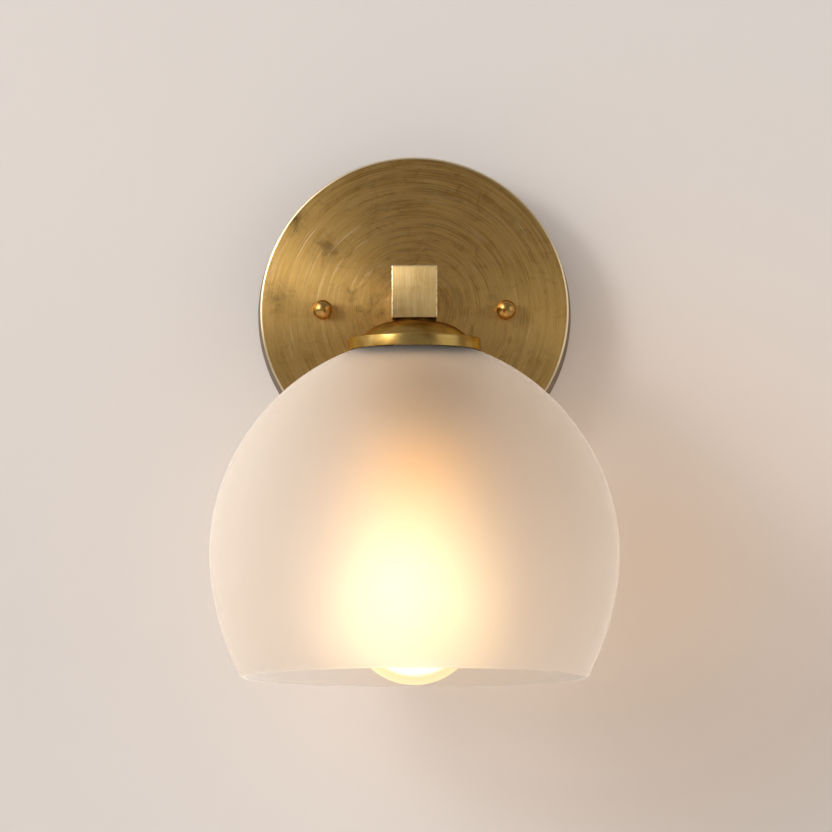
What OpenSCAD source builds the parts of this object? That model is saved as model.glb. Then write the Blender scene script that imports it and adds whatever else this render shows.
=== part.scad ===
// Wall sconce: a round canopy, a square arm and a frosted glass shade that opens downwards.
// The origin lies on the wall, at the middle of the canopy's back.
// X runs to the right, Y into the wall and Z up. All sizes are in millimetres.

/* [Canopy] */
// Diameter of the canopy at the wall
canopy_d = 120; // [112:1:150]
// Depth of the canopy, from the wall to its face
canopy_depth = 20; // [19:0.5:30]
// Thickness of the canopy's sheet
canopy_wall = 1.2; // [0.8:0.1:2]
// How much less the face's radius is than the back's
canopy_flare = 1.1; // [0.4:0.1:3]
// Radius of the canopy's front edge
canopy_edge_r = 0.9; // [0.4:0.1:2]

/* [Crossbar] */
// Length of the crossbar
bar_l = 104; // [102:1:106]
// Height of the crossbar
bar_w = 16; // [14:1:22]
// Thickness of the crossbar
bar_t = 2; // [1.5:0.1:2.5]
// Radius of the crossbar's corners
bar_corner_r = 2; // [0.5:0.5:3]
// Distance between the middles of the two wall box slots
slot_spacing = 88.9; // [88:0.1:90]
// Width of the slots
slot_w = 4.6; // [4:0.1:5.5]
// Length of the slots, end to end
slot_l = 10; // [7:0.5:10.5]
// Diameter of the crossbar's centre hole
bar_hole_d = 10.4; // [8:0.1:12]
// Distance of the earth screw from the crossbar's middle
earth_x = 18; // [14:0.5:22]

/* [Studs and knobs] */
// Distance between the two studs
stud_spacing = 70; // [64:0.5:72]
// Diameter of the studs
stud_d = 4.1; // [3:0.1:4.4]
// Pitch of the studs' thread
stud_pitch = 0.8; // [0.6:0.05:1]
// Depth of the studs' thread
stud_thread_depth = 0.25; // [0.1:0.05:0.4]
// How far the knobs stand out from the canopy's face
knob_h = 8; // [7.5:0.5:12]
// Diameter of the knobs' ball
knob_d = 7.3; // [7:0.1:10]
// Diameter of the knobs' foot
knob_foot_d = 6.8; // [6.6:0.1:8]
// Height of the knobs' foot
knob_foot_h = 1.3; // [1.1:0.1:2]
// Metal left between the stud's hole and the knob's top
knob_cap_t = 1.6; // [1:0.1:2.5]
// Thickness of the soft washers in the knobs
knob_washer_t = 0.6; // [0.4:0.1:0.8]

/* [Arm] */
// Distance from the wall to the shade's axis
reach = 95; // [88:1:130]
// Side of the square arm
arm_side = 17; // [16:0.5:22]
// Thickness of the arm's wall
arm_wall = 2; // [1.2:0.1:2.4]
// How far the block hangs lower than the arm
block_drop = 2.6; // [0.5:0.1:6]
// Chamfer on the block's and arm's edges
edge_chamfer = 0.35; // [0.1:0.05:0.8]
// Length of the plugs inside the arm's ends
plug_l = 10; // [8:0.5:14]
// Diameter of the block's bores for the leads
lead_bore_d = 7; // [6.5:0.1:8]
// Diameter of the arm's set screw
set_screw_d = 3.8; // [3:0.1:4]

/* [Threaded tubes] */
// Outer diameter of the threaded tubes
nipple_d = 9.7; // [9.2:0.1:10]
// Bore of the threaded tubes
nipple_bore_d = 6.6; // [6.2:0.1:7]
// Size of the hex nuts across their flats
nut_af = 14; // [13:0.5:15]
// Thickness of the hex nuts
nut_t = 3; // [2:0.5:3.5]
// Thickness of the lock washer
lock_washer_t = 1; // [0.6:0.1:1.5]
// Outer diameter of the lock washer
lock_washer_d = 16; // [15:0.5:18]
// Thread that stands proud of each nut
nipple_proud = 3; // [2:0.5:4]

/* [Cap] */
// Diameter of the collar between the block and the cap
collar_d = 12; // [11:0.5:15]
// Height of the collar
collar_h = 0.8; // [0.6:0.1:3]
// Outer diameter of the cap
cap_d = 49.3; // [48:0.1:56]
// Thickness of the cap's sheet
cap_wall = 1.2; // [0.8:0.1:1.5]
// Radius of the flat on top of the cap
cap_flat_r = 7.4; // [6.5:0.1:9]
// Radius at which the cap's dome meets its ledge
cap_dome_r = 20.3; // [20:0.1:21]
// Height of the cap's dome
cap_rise = 6.3; // [6:0.1:10]
// Height of the cap's straight ring
cap_ring_h = 4.5; // [3.6:0.1:8]
// Radius of the ring's upper edge
cap_edge_r = 0.6; // [0.2:0.1:1]
// Thickness of the ring's lower lip
cap_lip_t = 0.4; // [0.3:0.1:0.7]

/* [Glass shade] */
// Largest radius of the shade
shade_r = 76.2; // [72:0.2:78]
// Height of the full curve above the shade's widest place
shade_upper_h = 79.6; // [74:0.2:90]
// Roundness of the shade above its widest place, 2 being an ellipse
shade_upper_n = 1.93; // [1.8:0.01:2.2]
// Height of the full curve below the shade's widest place
shade_lower_curve = 92.9; // [80:0.1:120]
// Roundness of the shade below its widest place
shade_lower_n = 1.88; // [1.8:0.01:2.2]
// Height of the shade below its widest place
shade_lower_h = 46.5; // [35:0.5:60]
// Thickness of the glass
shade_wall = 2.8; // [2:0.1:3.2]
// Height of the round edge at the shade's mouth
shade_rim_round = 1.5; // [0.8:0.1:2]
// Diameter of the hole in the shade's top
shade_hole_d = 42; // [41.8:0.1:42.4]
// Width of the ground seat round the hole
shade_seat_w = 2; // [1.5:0.1:2.2]

/* [Gaskets and shade ring] */
// Width of the upper gasket on the glass
gasket_w = 3.2; // [2.6:0.1:3.3]
// Thickness of the lip that centres the glass
gasket_lip_t = 0.8; // [0.5:0.1:1]
// Depth of that lip in the hole
gasket_lip_h = 1.8; // [1:0.1:2]
// Outer radius of the lower gasket
lower_gasket_r = 24.5; // [23:0.1:25]
// Thickness of the lower gasket at its outer edge
lower_gasket_t = 1.5; // [1:0.1:2.5]
// Outer diameter of the shade ring's flange
ring_d = 50; // [48:0.5:56]
// Thickness of the shade ring's flange
ring_flange_t = 2.2; // [1.5:0.1:3]
// Height of the shade ring's grip below its flange
ring_grip_h = 6; // [4:0.5:8]
// Outer diameter of the shade ring's grip
ring_grip_d = 44; // [42.5:0.5:46]
// Number of ribs on the shade ring's grip
ring_ribs = 18; // [12:1:24]

/* [Lamp holder] */
// Outer diameter of the lamp holder's thread
holder_d = 38; // [37.5:0.1:38.6]
// Pitch of the lamp holder's outer thread
holder_pitch = 2.5; // [2:0.25:3]
// Depth of the lamp holder's outer thread
holder_thread_depth = 0.8; // [0.4:0.1:1]
// Length of the outer thread
holder_thread_l = 24; // [22:0.5:26]
// Length of the lamp holder's body
holder_l = 32; // [31:0.5:36]
// Diameter of the hood
hood_d = 35; // [34:0.5:35.5]
// Height of the hood below its hub
hood_h = 8.6; // [8.2:0.1:9]
// Thickness of the hood
hood_wall = 2.2; // [1.6:0.1:2.4]
// Depth of the terminal space in the body
terminal_depth = 3.5; // [3.3:0.1:4]
// Thickness of the web that carries the contacts
web_t = 2.5; // [2:0.1:2.8]
// Distance of the terminal screws from the axis
terminal_x = 9.5; // [9:0.1:10]

/* [Screw base] */
// Pitch of the bulb's thread
base_pitch = 3.63; // [3.2:0.01:4]
// Diameter of the bulb's thread over its crests
base_d = 26.1; // [25.5:0.1:26.3]
// Depth of the bulb's thread
base_thread_depth = 0.7; // [0.4:0.05:0.9]
// Number of thread turns on the bulb's base
base_turns = 5; // [4:1:5]
// Thickness of the sheet of the base and the shell
base_wall = 0.35; // [0.25:0.05:0.4]

/* [Bulb] */
// Radius of the bulb's round end
bulb_r = 24.5; // [22:0.5:30]
// Length of the bulb from its contact to its end
bulb_l = 112.2; // [100:0.2:125]
// Radius of the bulb's neck
bulb_neck_r = 12.9; // [12.5:0.1:13]
// Thickness of the bulb's glass
bulb_wall = 0.8; // [0.6:0.1:1]
// Number of light sticks in the bulb
stick_count = 4; // [2:1:6]
// Length of the light sticks
stick_l = 34; // [25:1:40]
// Diameter of the light sticks
stick_d = 1.8; // [1.2:0.1:2.2]

/* [Leads] */
// Diameter of the leads
lead_d = 1.9; // [1.4:0.1:2]
// Height of the twist-on connectors' mouths above the canopy's middle
connector_z = 25; // [22:1:30]
// Length of the connectors
connector_l = 15; // [12:1:18]
// Diameter of the connectors at their mouths
connector_d = 9; // [8:0.5:10]

/* [Clearances] */
// Gap between pieces that are fixed together
fixed_gap = 0.05; // [0.02:0.01:0.08]
// Gap round threads that turn
thread_gap = 0.08; // [0.05:0.01:0.1]
// Gap between pieces that pass or rest on each other
loose_gap = 0.3; // [0.2:0.05:0.4]

/* [Hidden] */
$fn = 64;

// How far touching pieces of one solid run into each other, and how far cuts run past a surface
fine = 0.01;
cut = 1;

// Colours
brass = [0.69, 0.53, 0.31];
dark_brass = [0.52, 0.39, 0.2];
steel = [0.72, 0.72, 0.7];
rubber = [0.16, 0.16, 0.16];
phenolic = [0.1, 0.09, 0.09];
frosted = [0.93, 0.88, 0.83];

// Canopy
canopy_r = canopy_d / 2;
face_r = canopy_r - canopy_flare;
nipple_hole_r = nipple_d / 2 + 3 * fixed_gap;
stud_r = stud_d / 2;
stud_tip = canopy_depth + knob_h - knob_cap_t - 2 * loose_gap;
thread_end = 1;

// Arm and block
block_back = reach - arm_side / 2;
block_top = arm_side / 2;
block_bottom = -arm_side / 2 - block_drop;
plug_side = arm_side - 2 * arm_wall - 2 * fixed_gap;
tap_r = nipple_d / 2 + fixed_gap;
lead_bore_r = lead_bore_d / 2;
tap_wall = 1;
block_tap_top = -lead_bore_r - tap_wall;
set_screw_y = block_back - plug_l / 2;
set_screw_wall = 0.7;
set_screw_end = lead_bore_r + set_screw_wall;

// Heights down the shade's axis
cap_top = block_bottom - collar_h;
ledge_z = cap_top - cap_rise;
cap_bottom = ledge_z - cap_ring_h;
cap_r = cap_d / 2;
shade_hole_r = shade_hole_d / 2;
seat_r = shade_hole_r + shade_seat_w;
lip_r = cap_r - cap_lip_t;
glass_top = cap_bottom - loose_gap + shade_curve(seat_r) - shade_curve(lip_r);
widest_z = glass_top - shade_curve(seat_r);
hub_top = cap_top - cap_wall;
hood_gap = 0.2;
hub_r = cap_flat_r - hood_gap;
hood_top = ledge_z - hood_gap;
hood_bottom = hood_top - hood_h;
holder_r = holder_d / 2;
holder_bottom = hood_bottom - holder_l;
web_top = hood_bottom - terminal_depth;
web_bottom = web_top - web_t;
nut_top = hood_top - hood_wall;
nipple_below_nut = 1;
nipple_bottom = nut_top - nut_t - nipple_below_nut;

// Threads of the bulb's base and of the shell round it
base_r = base_d / 2;
shell_r = base_r + loose_gap;
shell_outer_r = shell_r + base_thread_depth + base_wall;
holder_bore_r = shell_outer_r + fixed_gap;
contact_t = 0.4;
button_h = 1.2;
tip_top = web_bottom - contact_t - button_h - loose_gap;
tip_h = 1;
tip_r = 4.6;
insulator_h = 2.6;
thread_top = tip_top - tip_h - insulator_h;
skirt_drop = 1.2;
skirt_top = holder_bottom - skirt_drop;
skirt_h = 3;
skirt_r = bulb_neck_r + base_wall + 2 * fixed_gap;
neck_show = 1;
neck_end = skirt_top - skirt_h - neck_show;
bulb_bottom = tip_top - bulb_l;
stem_top = skirt_top - skirt_h;
stick_drop = 12;
stick_top = stem_top - stick_drop;
stick_ring_r = 7;
wheel_t = 0.8;

// Lower gasket and shade ring
inner_r = shade_r - shade_wall;
inner_upper_h = shade_upper_h - shade_wall;
lower_gasket_bottom = widest_z + curve_height(lower_gasket_r, inner_r, inner_upper_h) - loose_gap / 2
  - lower_gasket_t;
ring_bore_r = holder_r + thread_gap;
ring_grip_r = ring_grip_d / 2;

// Terminals and leads
lead_r = lead_d / 2;
lead_x = lead_r + loose_gap;
screw_shank_r = 1.25;
screw_head_r = 2.5;
screw_head_t = 1.4;
plate_top = web_top + contact_t;
lead_press_gap = 0.1;
lead_rest_z = plate_top + lead_r + lead_press_gap;
screw_head_bottom = lead_rest_z + lead_r + lead_press_gap;
canopy_back_z = canopy_depth - canopy_wall;
nut_back = canopy_back_z - lock_washer_t - nut_t;
nipple_back = nut_back - nipple_proud;
connector_y = -canopy_depth / 2;
connector_x = [-17, lead_x, 20];

// --- Shapes that several pieces share ---

// Turns a shape so that its Z axis stands out of the wall
module from_wall() rotate([90, 0, 0]) children();

// Places a shape on the axis of the shade and the bulb
module on_axis() translate([0, -reach, 0]) children();

// A disc or tube between two heights
module tube(outer, inner, low, high) {
  difference() {
    translate([0, 0, low]) cylinder(r = outer, h = high - low);
    translate([0, 0, low - cut]) cylinder(r = inner, h = high - low + 2 * cut);
  }
}

// A hexagonal nut between two heights
module hex_nut(across, bore, low, high) {
  difference() {
    translate([0, 0, low]) cylinder(d = across / cos(30), h = high - low, $fn = 6);
    translate([0, 0, low - cut]) cylinder(r = bore, h = high - low + 2 * cut);
  }
}

// A square with its corners cut off
module cut_square(w, h, c) {
  polygon([
    [-w / 2 + c, -h / 2], [w / 2 - c, -h / 2], [w / 2, -h / 2 + c], [w / 2, h / 2 - c],
    [w / 2 - c, h / 2], [-w / 2 + c, h / 2], [-w / 2, h / 2 - c], [-w / 2, -h / 2 + c]
  ]);
}

// A block with all twelve edges cut off, in the middle of its own box
module cut_block(size, c) {
  intersection() {
    translate([0, 0, -size.z / 2]) linear_extrude(size.z) cut_square(size.x, size.y, c);
    rotate([90, 0, 0]) translate([0, 0, -size.y / 2]) linear_extrude(size.y) cut_square(size.x, size.z, c);
    rotate([90, 0, 90]) translate([0, 0, -size.x / 2]) linear_extrude(size.x) cut_square(size.y, size.z, c);
  }
}

// Points along an arc
function arc(centre, r, from, to, count) = [
  for (i = [0 : count])
    let (a = from + (to - from) * i / count)
    centre + r * [cos(a), sin(a)]
];

// A list from its last item to its first
function reversed(list) = [for (i = [len(list) - 1 : -1 : 0]) list[i]];

// A list without its first item
function rest_of(list) = [for (i = [1 : len(list) - 1]) list[i]];

// Points of a thread's rings down an axis, from crest to root and back
function ring_points(crest, root, pitch, turns, top) = [
  for (i = [0 : 2 * turns])
    [i % 2 == 0 ? crest : root, top - i * pitch / 2]
];

// Points of a rolled thread's round rings down an axis, with 6 steps a turn
function rolled_points(crest, depth, pitch, turns, top) = [
  for (i = [0 : 6 * turns])
    [crest - depth / 2 + depth / 2 * cos(60 * i), top - i * pitch / 6]
];

// --- Canopy, crossbar and what holds them ---

canopy_outline = concat(
  [[0, canopy_depth]],
  reversed(arc([face_r - canopy_edge_r, canopy_depth - canopy_edge_r], canopy_edge_r, 0, 90, 6)),
  [[canopy_r, 0], [canopy_r - canopy_wall, 0]],
  [[face_r - canopy_wall, canopy_depth - canopy_wall - canopy_edge_r / 2]],
  [[face_r - canopy_wall - canopy_edge_r / 2, canopy_depth - canopy_wall], [0, canopy_depth - canopy_wall]]
);

module canopy() {
  color(brass)
    from_wall()
      difference() {
        rotate_extrude($fn = 128) polygon(canopy_outline);
        translate([0, 0, canopy_depth / 2]) cylinder(r = nipple_hole_r, h = canopy_depth);
        for (side = [-1, 1])
          translate([side * stud_spacing / 2, 0, canopy_depth / 2])
            cylinder(r = stud_r + loose_gap, h = canopy_depth);
      }
}

// A slot made of two round ends and the stretch between them
module slot(length, width, depth) {
  run = length - width;
  for (side = [-1, 1])
    translate([side * run / 2, 0, 0]) cylinder(d = width, h = depth);
  translate([-run / 2, -width / 2, 0]) cube([run, width, depth]);
}

module bar_blank() {
  translate([-bar_l / 2 + bar_corner_r, -bar_w / 2, 0]) cube([bar_l - 2 * bar_corner_r, bar_w, bar_t]);
  translate([-bar_l / 2, -bar_w / 2 + bar_corner_r, 0]) cube([bar_l, bar_w - 2 * bar_corner_r, bar_t]);
  for (x = [-1, 1], y = [-1, 1])
    translate([x * (bar_l / 2 - bar_corner_r), y * (bar_w / 2 - bar_corner_r), 0])
      cylinder(r = bar_corner_r, h = bar_t);
}

earth_shank_r = 2.3;
earth_lead_room = lead_d + 2 * lead_press_gap;
earth_flange_r = 4.2;
earth_flange_t = 0.8;
earth_head_af = 6.3;
earth_head_t = 2.6;

module crossbar() {
  color(steel)
    from_wall()
      difference() {
        bar_blank();
        for (side = [-1, 1]) {
          translate([side * slot_spacing / 2, 0, -cut]) slot(slot_l, slot_w, bar_t + 2 * cut);
          translate([side * stud_spacing / 2, 0, -cut])
            cylinder(r = stud_r + fixed_gap, h = bar_t + 2 * cut);
        }
        translate([0, 0, -cut]) cylinder(d = bar_hole_d, h = bar_t + 2 * cut);
        translate([earth_x, 0, -cut]) cylinder(r = earth_shank_r + fixed_gap, h = bar_t + 2 * cut);
      }
}

// One stud: plain at its ends, with thread rings between the crossbar and the canopy
module stud() {
  ring_room = canopy_back_z - bar_t - 2 * thread_end;
  turns = floor(ring_room / stud_pitch);
  rings = ring_points(stud_r, stud_r - stud_thread_depth, stud_pitch, turns, canopy_back_z - thread_end);
  tip_cut = 0.5;
  rotate_extrude()
    polygon(concat(
      [[0, stud_tip], [stud_r - tip_cut, stud_tip], [stud_r, stud_tip - tip_cut]],
      rings,
      [[stud_r, 0], [0, 0]]
    ));
}

module mounting_studs() {
  color(steel)
    from_wall()
      for (side = [-1, 1])
        translate([side * stud_spacing / 2, 0, 0]) stud();
}

module ground_screw() {
  slot_cut = 1;
  flange_z = bar_t + earth_lead_room;
  color([0.1, 0.45, 0.2])
    from_wall()
      translate([earth_x, 0, 0])
        difference() {
          union() {
            cylinder(r = earth_shank_r, h = flange_z + fine);
            translate([0, 0, flange_z]) cylinder(r = earth_flange_r, h = earth_flange_t);
            translate([0, 0, flange_z + earth_flange_t - fine])
              cylinder(d = earth_head_af / cos(30), h = earth_head_t + fine, $fn = 6);
          }
          translate([-earth_head_af, -slot_cut / 2, flange_z + earth_flange_t + earth_head_t - slot_cut])
            cube([2 * earth_head_af, slot_cut, 2 * slot_cut]);
        }
}

knob_ball_r = knob_d / 2;
knob_foot_r = knob_foot_d / 2;
knob_ball_z = knob_h - knob_ball_r;
knob_neck_wall = 0.9;
knob_neck_r = stud_r + knob_neck_wall;
foot_lip = 0.5;
foot_chamfer = 0.2;
washer_room_r = knob_foot_r - foot_lip;
neck_angle = acos(knob_neck_r / knob_ball_r);

knob_outline = concat(
  [[0, 0], [knob_foot_r, 0], [knob_foot_r, knob_foot_h - foot_chamfer]],
  [[knob_foot_r - foot_chamfer, knob_foot_h], [knob_neck_r, knob_foot_h + foot_chamfer / 2]],
  arc([0, knob_ball_z], knob_ball_r, -neck_angle, 90, 16)
);

// A ball-shaped cap nut with a hole for its stud and a recess for its washer
module knob() {
  color(brass)
    difference() {
      rotate_extrude() polygon(knob_outline);
      translate([0, 0, -cut]) cylinder(r = stud_r + thread_gap, h = knob_h - knob_cap_t + cut);
      translate([0, 0, -cut]) cylinder(r = washer_room_r, h = knob_washer_t + fixed_gap + cut);
    }
}

module knob_washer() {
  color([0.9, 0.88, 0.82]) tube(washer_room_r - thread_gap, stud_r + loose_gap, 0, knob_washer_t);
}

// Places a knob or its washer on the canopy's face, at the stud on one side
module at_stud(side) from_wall() translate([side * stud_spacing / 2, 0, canopy_depth]) children();

module knob_left() at_stud(-1) knob();

module knob_right() at_stud(1) knob();

module knob_washer_left() at_stud(-1) knob_washer();

module knob_washer_right() at_stud(1) knob_washer();

module canopy_nipple() {
  end_short = 2;
  color(dark_brass)
    from_wall() tube(nipple_d / 2, nipple_bore_d / 2, nipple_back, canopy_depth + plug_l - end_short);
}

module lock_washer() {
  split = 1;
  split_angle = -60;
  color(steel)
    from_wall()
      difference() {
        tube(lock_washer_d / 2, nipple_hole_r, canopy_back_z - lock_washer_t, canopy_back_z);
        rotate(split_angle) translate([0, -split / 2, 0]) cube([lock_washer_d, split, canopy_depth]);
      }
}

module canopy_nut() {
  color(dark_brass) from_wall() hex_nut(nut_af, tap_r, nut_back, nut_back + nut_t);
}

// --- Arm and block ---

module arm_tube() {
  arm_l = block_back - canopy_depth;
  color(brass)
    difference() {
      from_wall()
        translate([0, 0, canopy_depth])
          linear_extrude(arm_l)
            difference() {
              cut_square(arm_side, arm_side, edge_chamfer);
              square(arm_side - 2 * arm_wall, center = true);
            }
      translate([0, -set_screw_y, -arm_side]) cylinder(r = set_screw_d / 2 + fixed_gap, h = arm_side);
    }
}

module arm_plug() {
  color(dark_brass)
    from_wall()
      difference() {
        translate([-plug_side / 2, -plug_side / 2, canopy_depth]) cube([plug_side, plug_side, plug_l]);
        translate([0, 0, canopy_depth - cut]) cylinder(r = tap_r, h = plug_l + 2 * cut);
      }
}

module elbow_block() {
  block_h = block_top - block_bottom;
  root = 2;
  color(brass)
    difference() {
      union() {
        translate([0, -reach, (block_top + block_bottom) / 2])
          cut_block([arm_side, arm_side, block_h], edge_chamfer);
        translate([-plug_side / 2, -block_back - root, -plug_side / 2])
          cube([plug_side, plug_l + root, plug_side]);
      }
      from_wall()
        translate([0, 0, block_back - plug_l - cut])
          cylinder(r = lead_bore_r, h = reach - block_back + plug_l + cut);
      on_axis() translate([0, 0, block_bottom - cut]) {
        cylinder(r = lead_bore_r, h = cut - block_bottom);
        cylinder(r = tap_r, h = block_tap_top - block_bottom + cut);
      }
      translate([0, -set_screw_y, -arm_side]) cylinder(r = set_screw_d / 2 + fixed_gap, h = arm_side);
    }
}

module arm_set_screw() {
  key_af = 2;
  key_depth = 1.8;
  color(phenolic)
    translate([0, -set_screw_y, -arm_side / 2 + loose_gap])
      difference() {
        cylinder(d = set_screw_d, h = arm_side / 2 - loose_gap - set_screw_end);
        translate([0, 0, -fine]) cylinder(d = key_af / cos(30), h = key_depth, $fn = 6);
      }
}

// --- Cap and what clamps the glass ---

module neck_collar() {
  color(brass) on_axis() tube(collar_d / 2, nipple_hole_r, cap_top, block_bottom);
}

// The dome's arc leaves the flat smoothly and ends on the ledge
dome_run = cap_dome_r - cap_flat_r;
dome_arc_r = (dome_run * dome_run + cap_rise * cap_rise) / (2 * cap_rise);
dome_angle = asin(dome_run / dome_arc_r);

// One side of the dome's sheet, which lies t under the outer one
function dome_points(t) = reversed(arc(
  [cap_flat_r, cap_top - dome_arc_r], dome_arc_r - t, 90 - dome_angle, 90, 12
));

inner_dome_r = cap_flat_r + (dome_arc_r - cap_wall) * sin(dome_angle);

module shade_cap() {
  color(brass)
    on_axis()
      difference() {
        rotate_extrude($fn = 96)
          polygon(concat(
            [[0, cap_top]],
            dome_points(0),
            reversed(arc([cap_r - cap_edge_r, ledge_z - cap_edge_r], cap_edge_r, 0, 90, 5)),
            [[cap_r, cap_bottom], [lip_r, cap_bottom]],
            [[cap_r - cap_wall, cap_bottom + cap_wall - cap_lip_t], [cap_r - cap_wall, ledge_z - cap_wall]],
            [[inner_dome_r, ledge_z - cap_wall]],
            reversed(dome_points(cap_wall)),
            [[0, hub_top]]
          ));
        translate([0, 0, hub_top - cut]) cylinder(r = nipple_hole_r, h = cap_wall + 2 * cut);
      }
}

module upper_gasket() {
  lip_out = shade_hole_r - loose_gap;
  gasket_in = lip_out - gasket_lip_t;
  gasket_top = ledge_z - cap_wall;
  color(rubber)
    on_axis()
      rotate_extrude()
        polygon([
          [gasket_in, gasket_top], [gasket_in + gasket_w, gasket_top], [gasket_in + gasket_w, glass_top],
          [lip_out, glass_top], [lip_out, glass_top - gasket_lip_h], [gasket_in, glass_top - gasket_lip_h]
        ]);
}

module lower_gasket() {
  holder_room = 1;
  gasket_in = holder_r + holder_room;
  steps = 8;
  color(rubber)
    on_axis()
      rotate_extrude()
        polygon(concat(
          [[gasket_in, lower_gasket_bottom]],
          [
            for (i = [0 : steps])
              let (r = gasket_in + (lower_gasket_r - gasket_in) * i / steps)
              [r, widest_z + curve_height(r, inner_r, inner_upper_h) - loose_gap / 2]
          ],
          [[lower_gasket_r, lower_gasket_bottom]]
        ));
}

module shade_ring() {
  flange_bottom = lower_gasket_bottom - ring_flange_t;
  grip_bottom = flange_bottom - ring_grip_h;
  rib_r = 0.8;
  color([0.2, 0.19, 0.18])
    on_axis()
      difference() {
        union() {
          translate([0, 0, flange_bottom]) cylinder(d = ring_d, h = ring_flange_t);
          translate([0, 0, grip_bottom]) cylinder(r = ring_grip_r, h = ring_grip_h + fine);
          for (i = [0 : ring_ribs - 1])
            rotate(i * 360 / ring_ribs)
              translate([ring_grip_r, 0, grip_bottom])
                cylinder(r = rib_r, h = ring_grip_h + fine, $fn = 16);
        }
        translate([0, 0, grip_bottom - cut])
          cylinder(r = ring_bore_r, h = ring_grip_h + ring_flange_t + 2 * cut);
      }
}

// --- Glass shade ---

// Height of the upper curve above the widest place, at radius r
function curve_height(r, a, b) = b * pow(1 - pow(r / a, shade_upper_n), 1 / shade_upper_n);

// The same, for the outside of the glass
function shade_curve(r) = curve_height(r, shade_r, shade_upper_h);

// Radius of the lower curve at depth h below the widest place
function curve_radius(h, a, b) = a * pow(1 - pow(h / b, shade_lower_n), 1 / shade_lower_n);

// The upper curve, from radius r0 down to the widest place
function upper_curve(r0, a, b, count) = [
  for (i = [0 : count])
    let (t = acos(pow(r0 / a, shade_upper_n / 2)) * (1 - i / count))
    [a * pow(cos(t), 2 / shade_upper_n), widest_z + b * pow(sin(t), 2 / shade_upper_n)]
];

// The lower curve, from just under the widest place down to depth h
function lower_curve(h, a, b, count) = [
  for (i = [1 : count])
    let (t = asin(pow(h / b, shade_lower_n / 2)) * i / count)
    [a * pow(cos(t), 2 / shade_lower_n), widest_z - b * pow(sin(t), 2 / shade_lower_n)]
];

module shade_glass() {
  inner_lower = shade_lower_curve - shade_wall;
  wall_h = shade_lower_h - shade_rim_round;
  mouth_out = curve_radius(wall_h, shade_r, shade_lower_curve);
  mouth_in = curve_radius(wall_h, inner_r, inner_lower);
  outer = concat(
    upper_curve(seat_r, shade_r, shade_upper_h, 22),
    lower_curve(wall_h, shade_r, shade_lower_curve, 12)
  );
  inner = concat(
    upper_curve(shade_hole_r, inner_r, inner_upper_h, 22),
    lower_curve(wall_h, inner_r, inner_lower, 12)
  );
  rim = [
    for (i = [1 : 7])
      [
        (mouth_out + mouth_in) / 2 + (mouth_out - mouth_in) / 2 * cos(22.5 * i),
        widest_z - wall_h - shade_rim_round * sin(22.5 * i)
      ]
  ];
  color(frosted)
    on_axis()
      rotate_extrude($fn = 128)
        polygon(concat([[shade_hole_r, glass_top]], outer, rim, reversed(inner)));
}

// --- Lamp holder ---

module socket_nipple() {
  color(dark_brass)
    on_axis() tube(nipple_d / 2, nipple_bore_d / 2, nipple_bottom, block_tap_top - loose_gap);
}

module socket_nut() {
  color(dark_brass) on_axis() hex_nut(nut_af, tap_r, nut_top - nut_t, nut_top);
}

module socket_hood() {
  color(phenolic)
    on_axis()
      difference() {
        union() {
          translate([0, 0, hood_top - fine]) cylinder(r = hub_r, h = hub_top - hood_top + fine);
          translate([0, 0, hood_bottom]) cylinder(d = hood_d, h = hood_h);
        }
        translate([0, 0, hood_bottom - cut]) {
          cylinder(r = tap_r, h = hub_top - hood_bottom + 2 * cut);
          cylinder(d = hood_d - 2 * hood_wall, h = hood_h - hood_wall + cut);
        }
      }
}

contact_leg_x = 4;
plate_reach = 3;
shell_leg_x = terminal_x + plate_reach + loose_gap;
leg_w = 4;

// A slot in the web for a contact's leg, which starts at one place in X
module leg_slot(low_x)
  translate([low_x - fixed_gap, -leg_w / 2 - fixed_gap, web_bottom - cut])
    cube([contact_t + 2 * fixed_gap, leg_w + 2 * fixed_gap, web_t + 2 * cut]);

module socket_body() {
  start = 0.5;
  edge = 0.8;
  rings = ring_points(
    holder_r, holder_r - holder_thread_depth, holder_pitch,
    floor(holder_thread_l / holder_pitch), hood_bottom - start
  );
  shank_hole_r = screw_shank_r + fixed_gap;
  color(phenolic)
    on_axis()
      difference() {
        rotate_extrude($fn = 96)
          polygon(concat(
            [[0, hood_bottom], [holder_r - start, hood_bottom]],
            rings,
            [[holder_r, holder_bottom + edge], [holder_r - edge, holder_bottom], [0, holder_bottom]]
          ));
        translate([0, 0, web_top]) cylinder(d = hood_d - 2 * hood_wall, h = holder_l);
        translate([0, 0, holder_bottom - cut])
          cylinder(r = holder_bore_r, h = web_bottom - holder_bottom + cut);
        for (side = [-1, 1])
          translate([side * terminal_x, 0, web_bottom - cut])
            cylinder(r = shank_hole_r, h = web_t + 2 * cut, $fn = 32);
        leg_slot(contact_leg_x);
        leg_slot(-shell_leg_x - contact_t);
      }
}

// A terminal plate on the web, with its hole round the screw's shank, between two places in X
module terminal_plate(low_x, high_x, screw_x) {
  plate_w = 6;
  difference() {
    translate([low_x, -plate_w / 2, web_top]) cube([high_x - low_x, plate_w, contact_t]);
    translate([screw_x, 0, web_top - cut])
      cylinder(r = screw_shank_r + fixed_gap, h = contact_t + 2 * cut, $fn = 32);
  }
}

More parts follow.
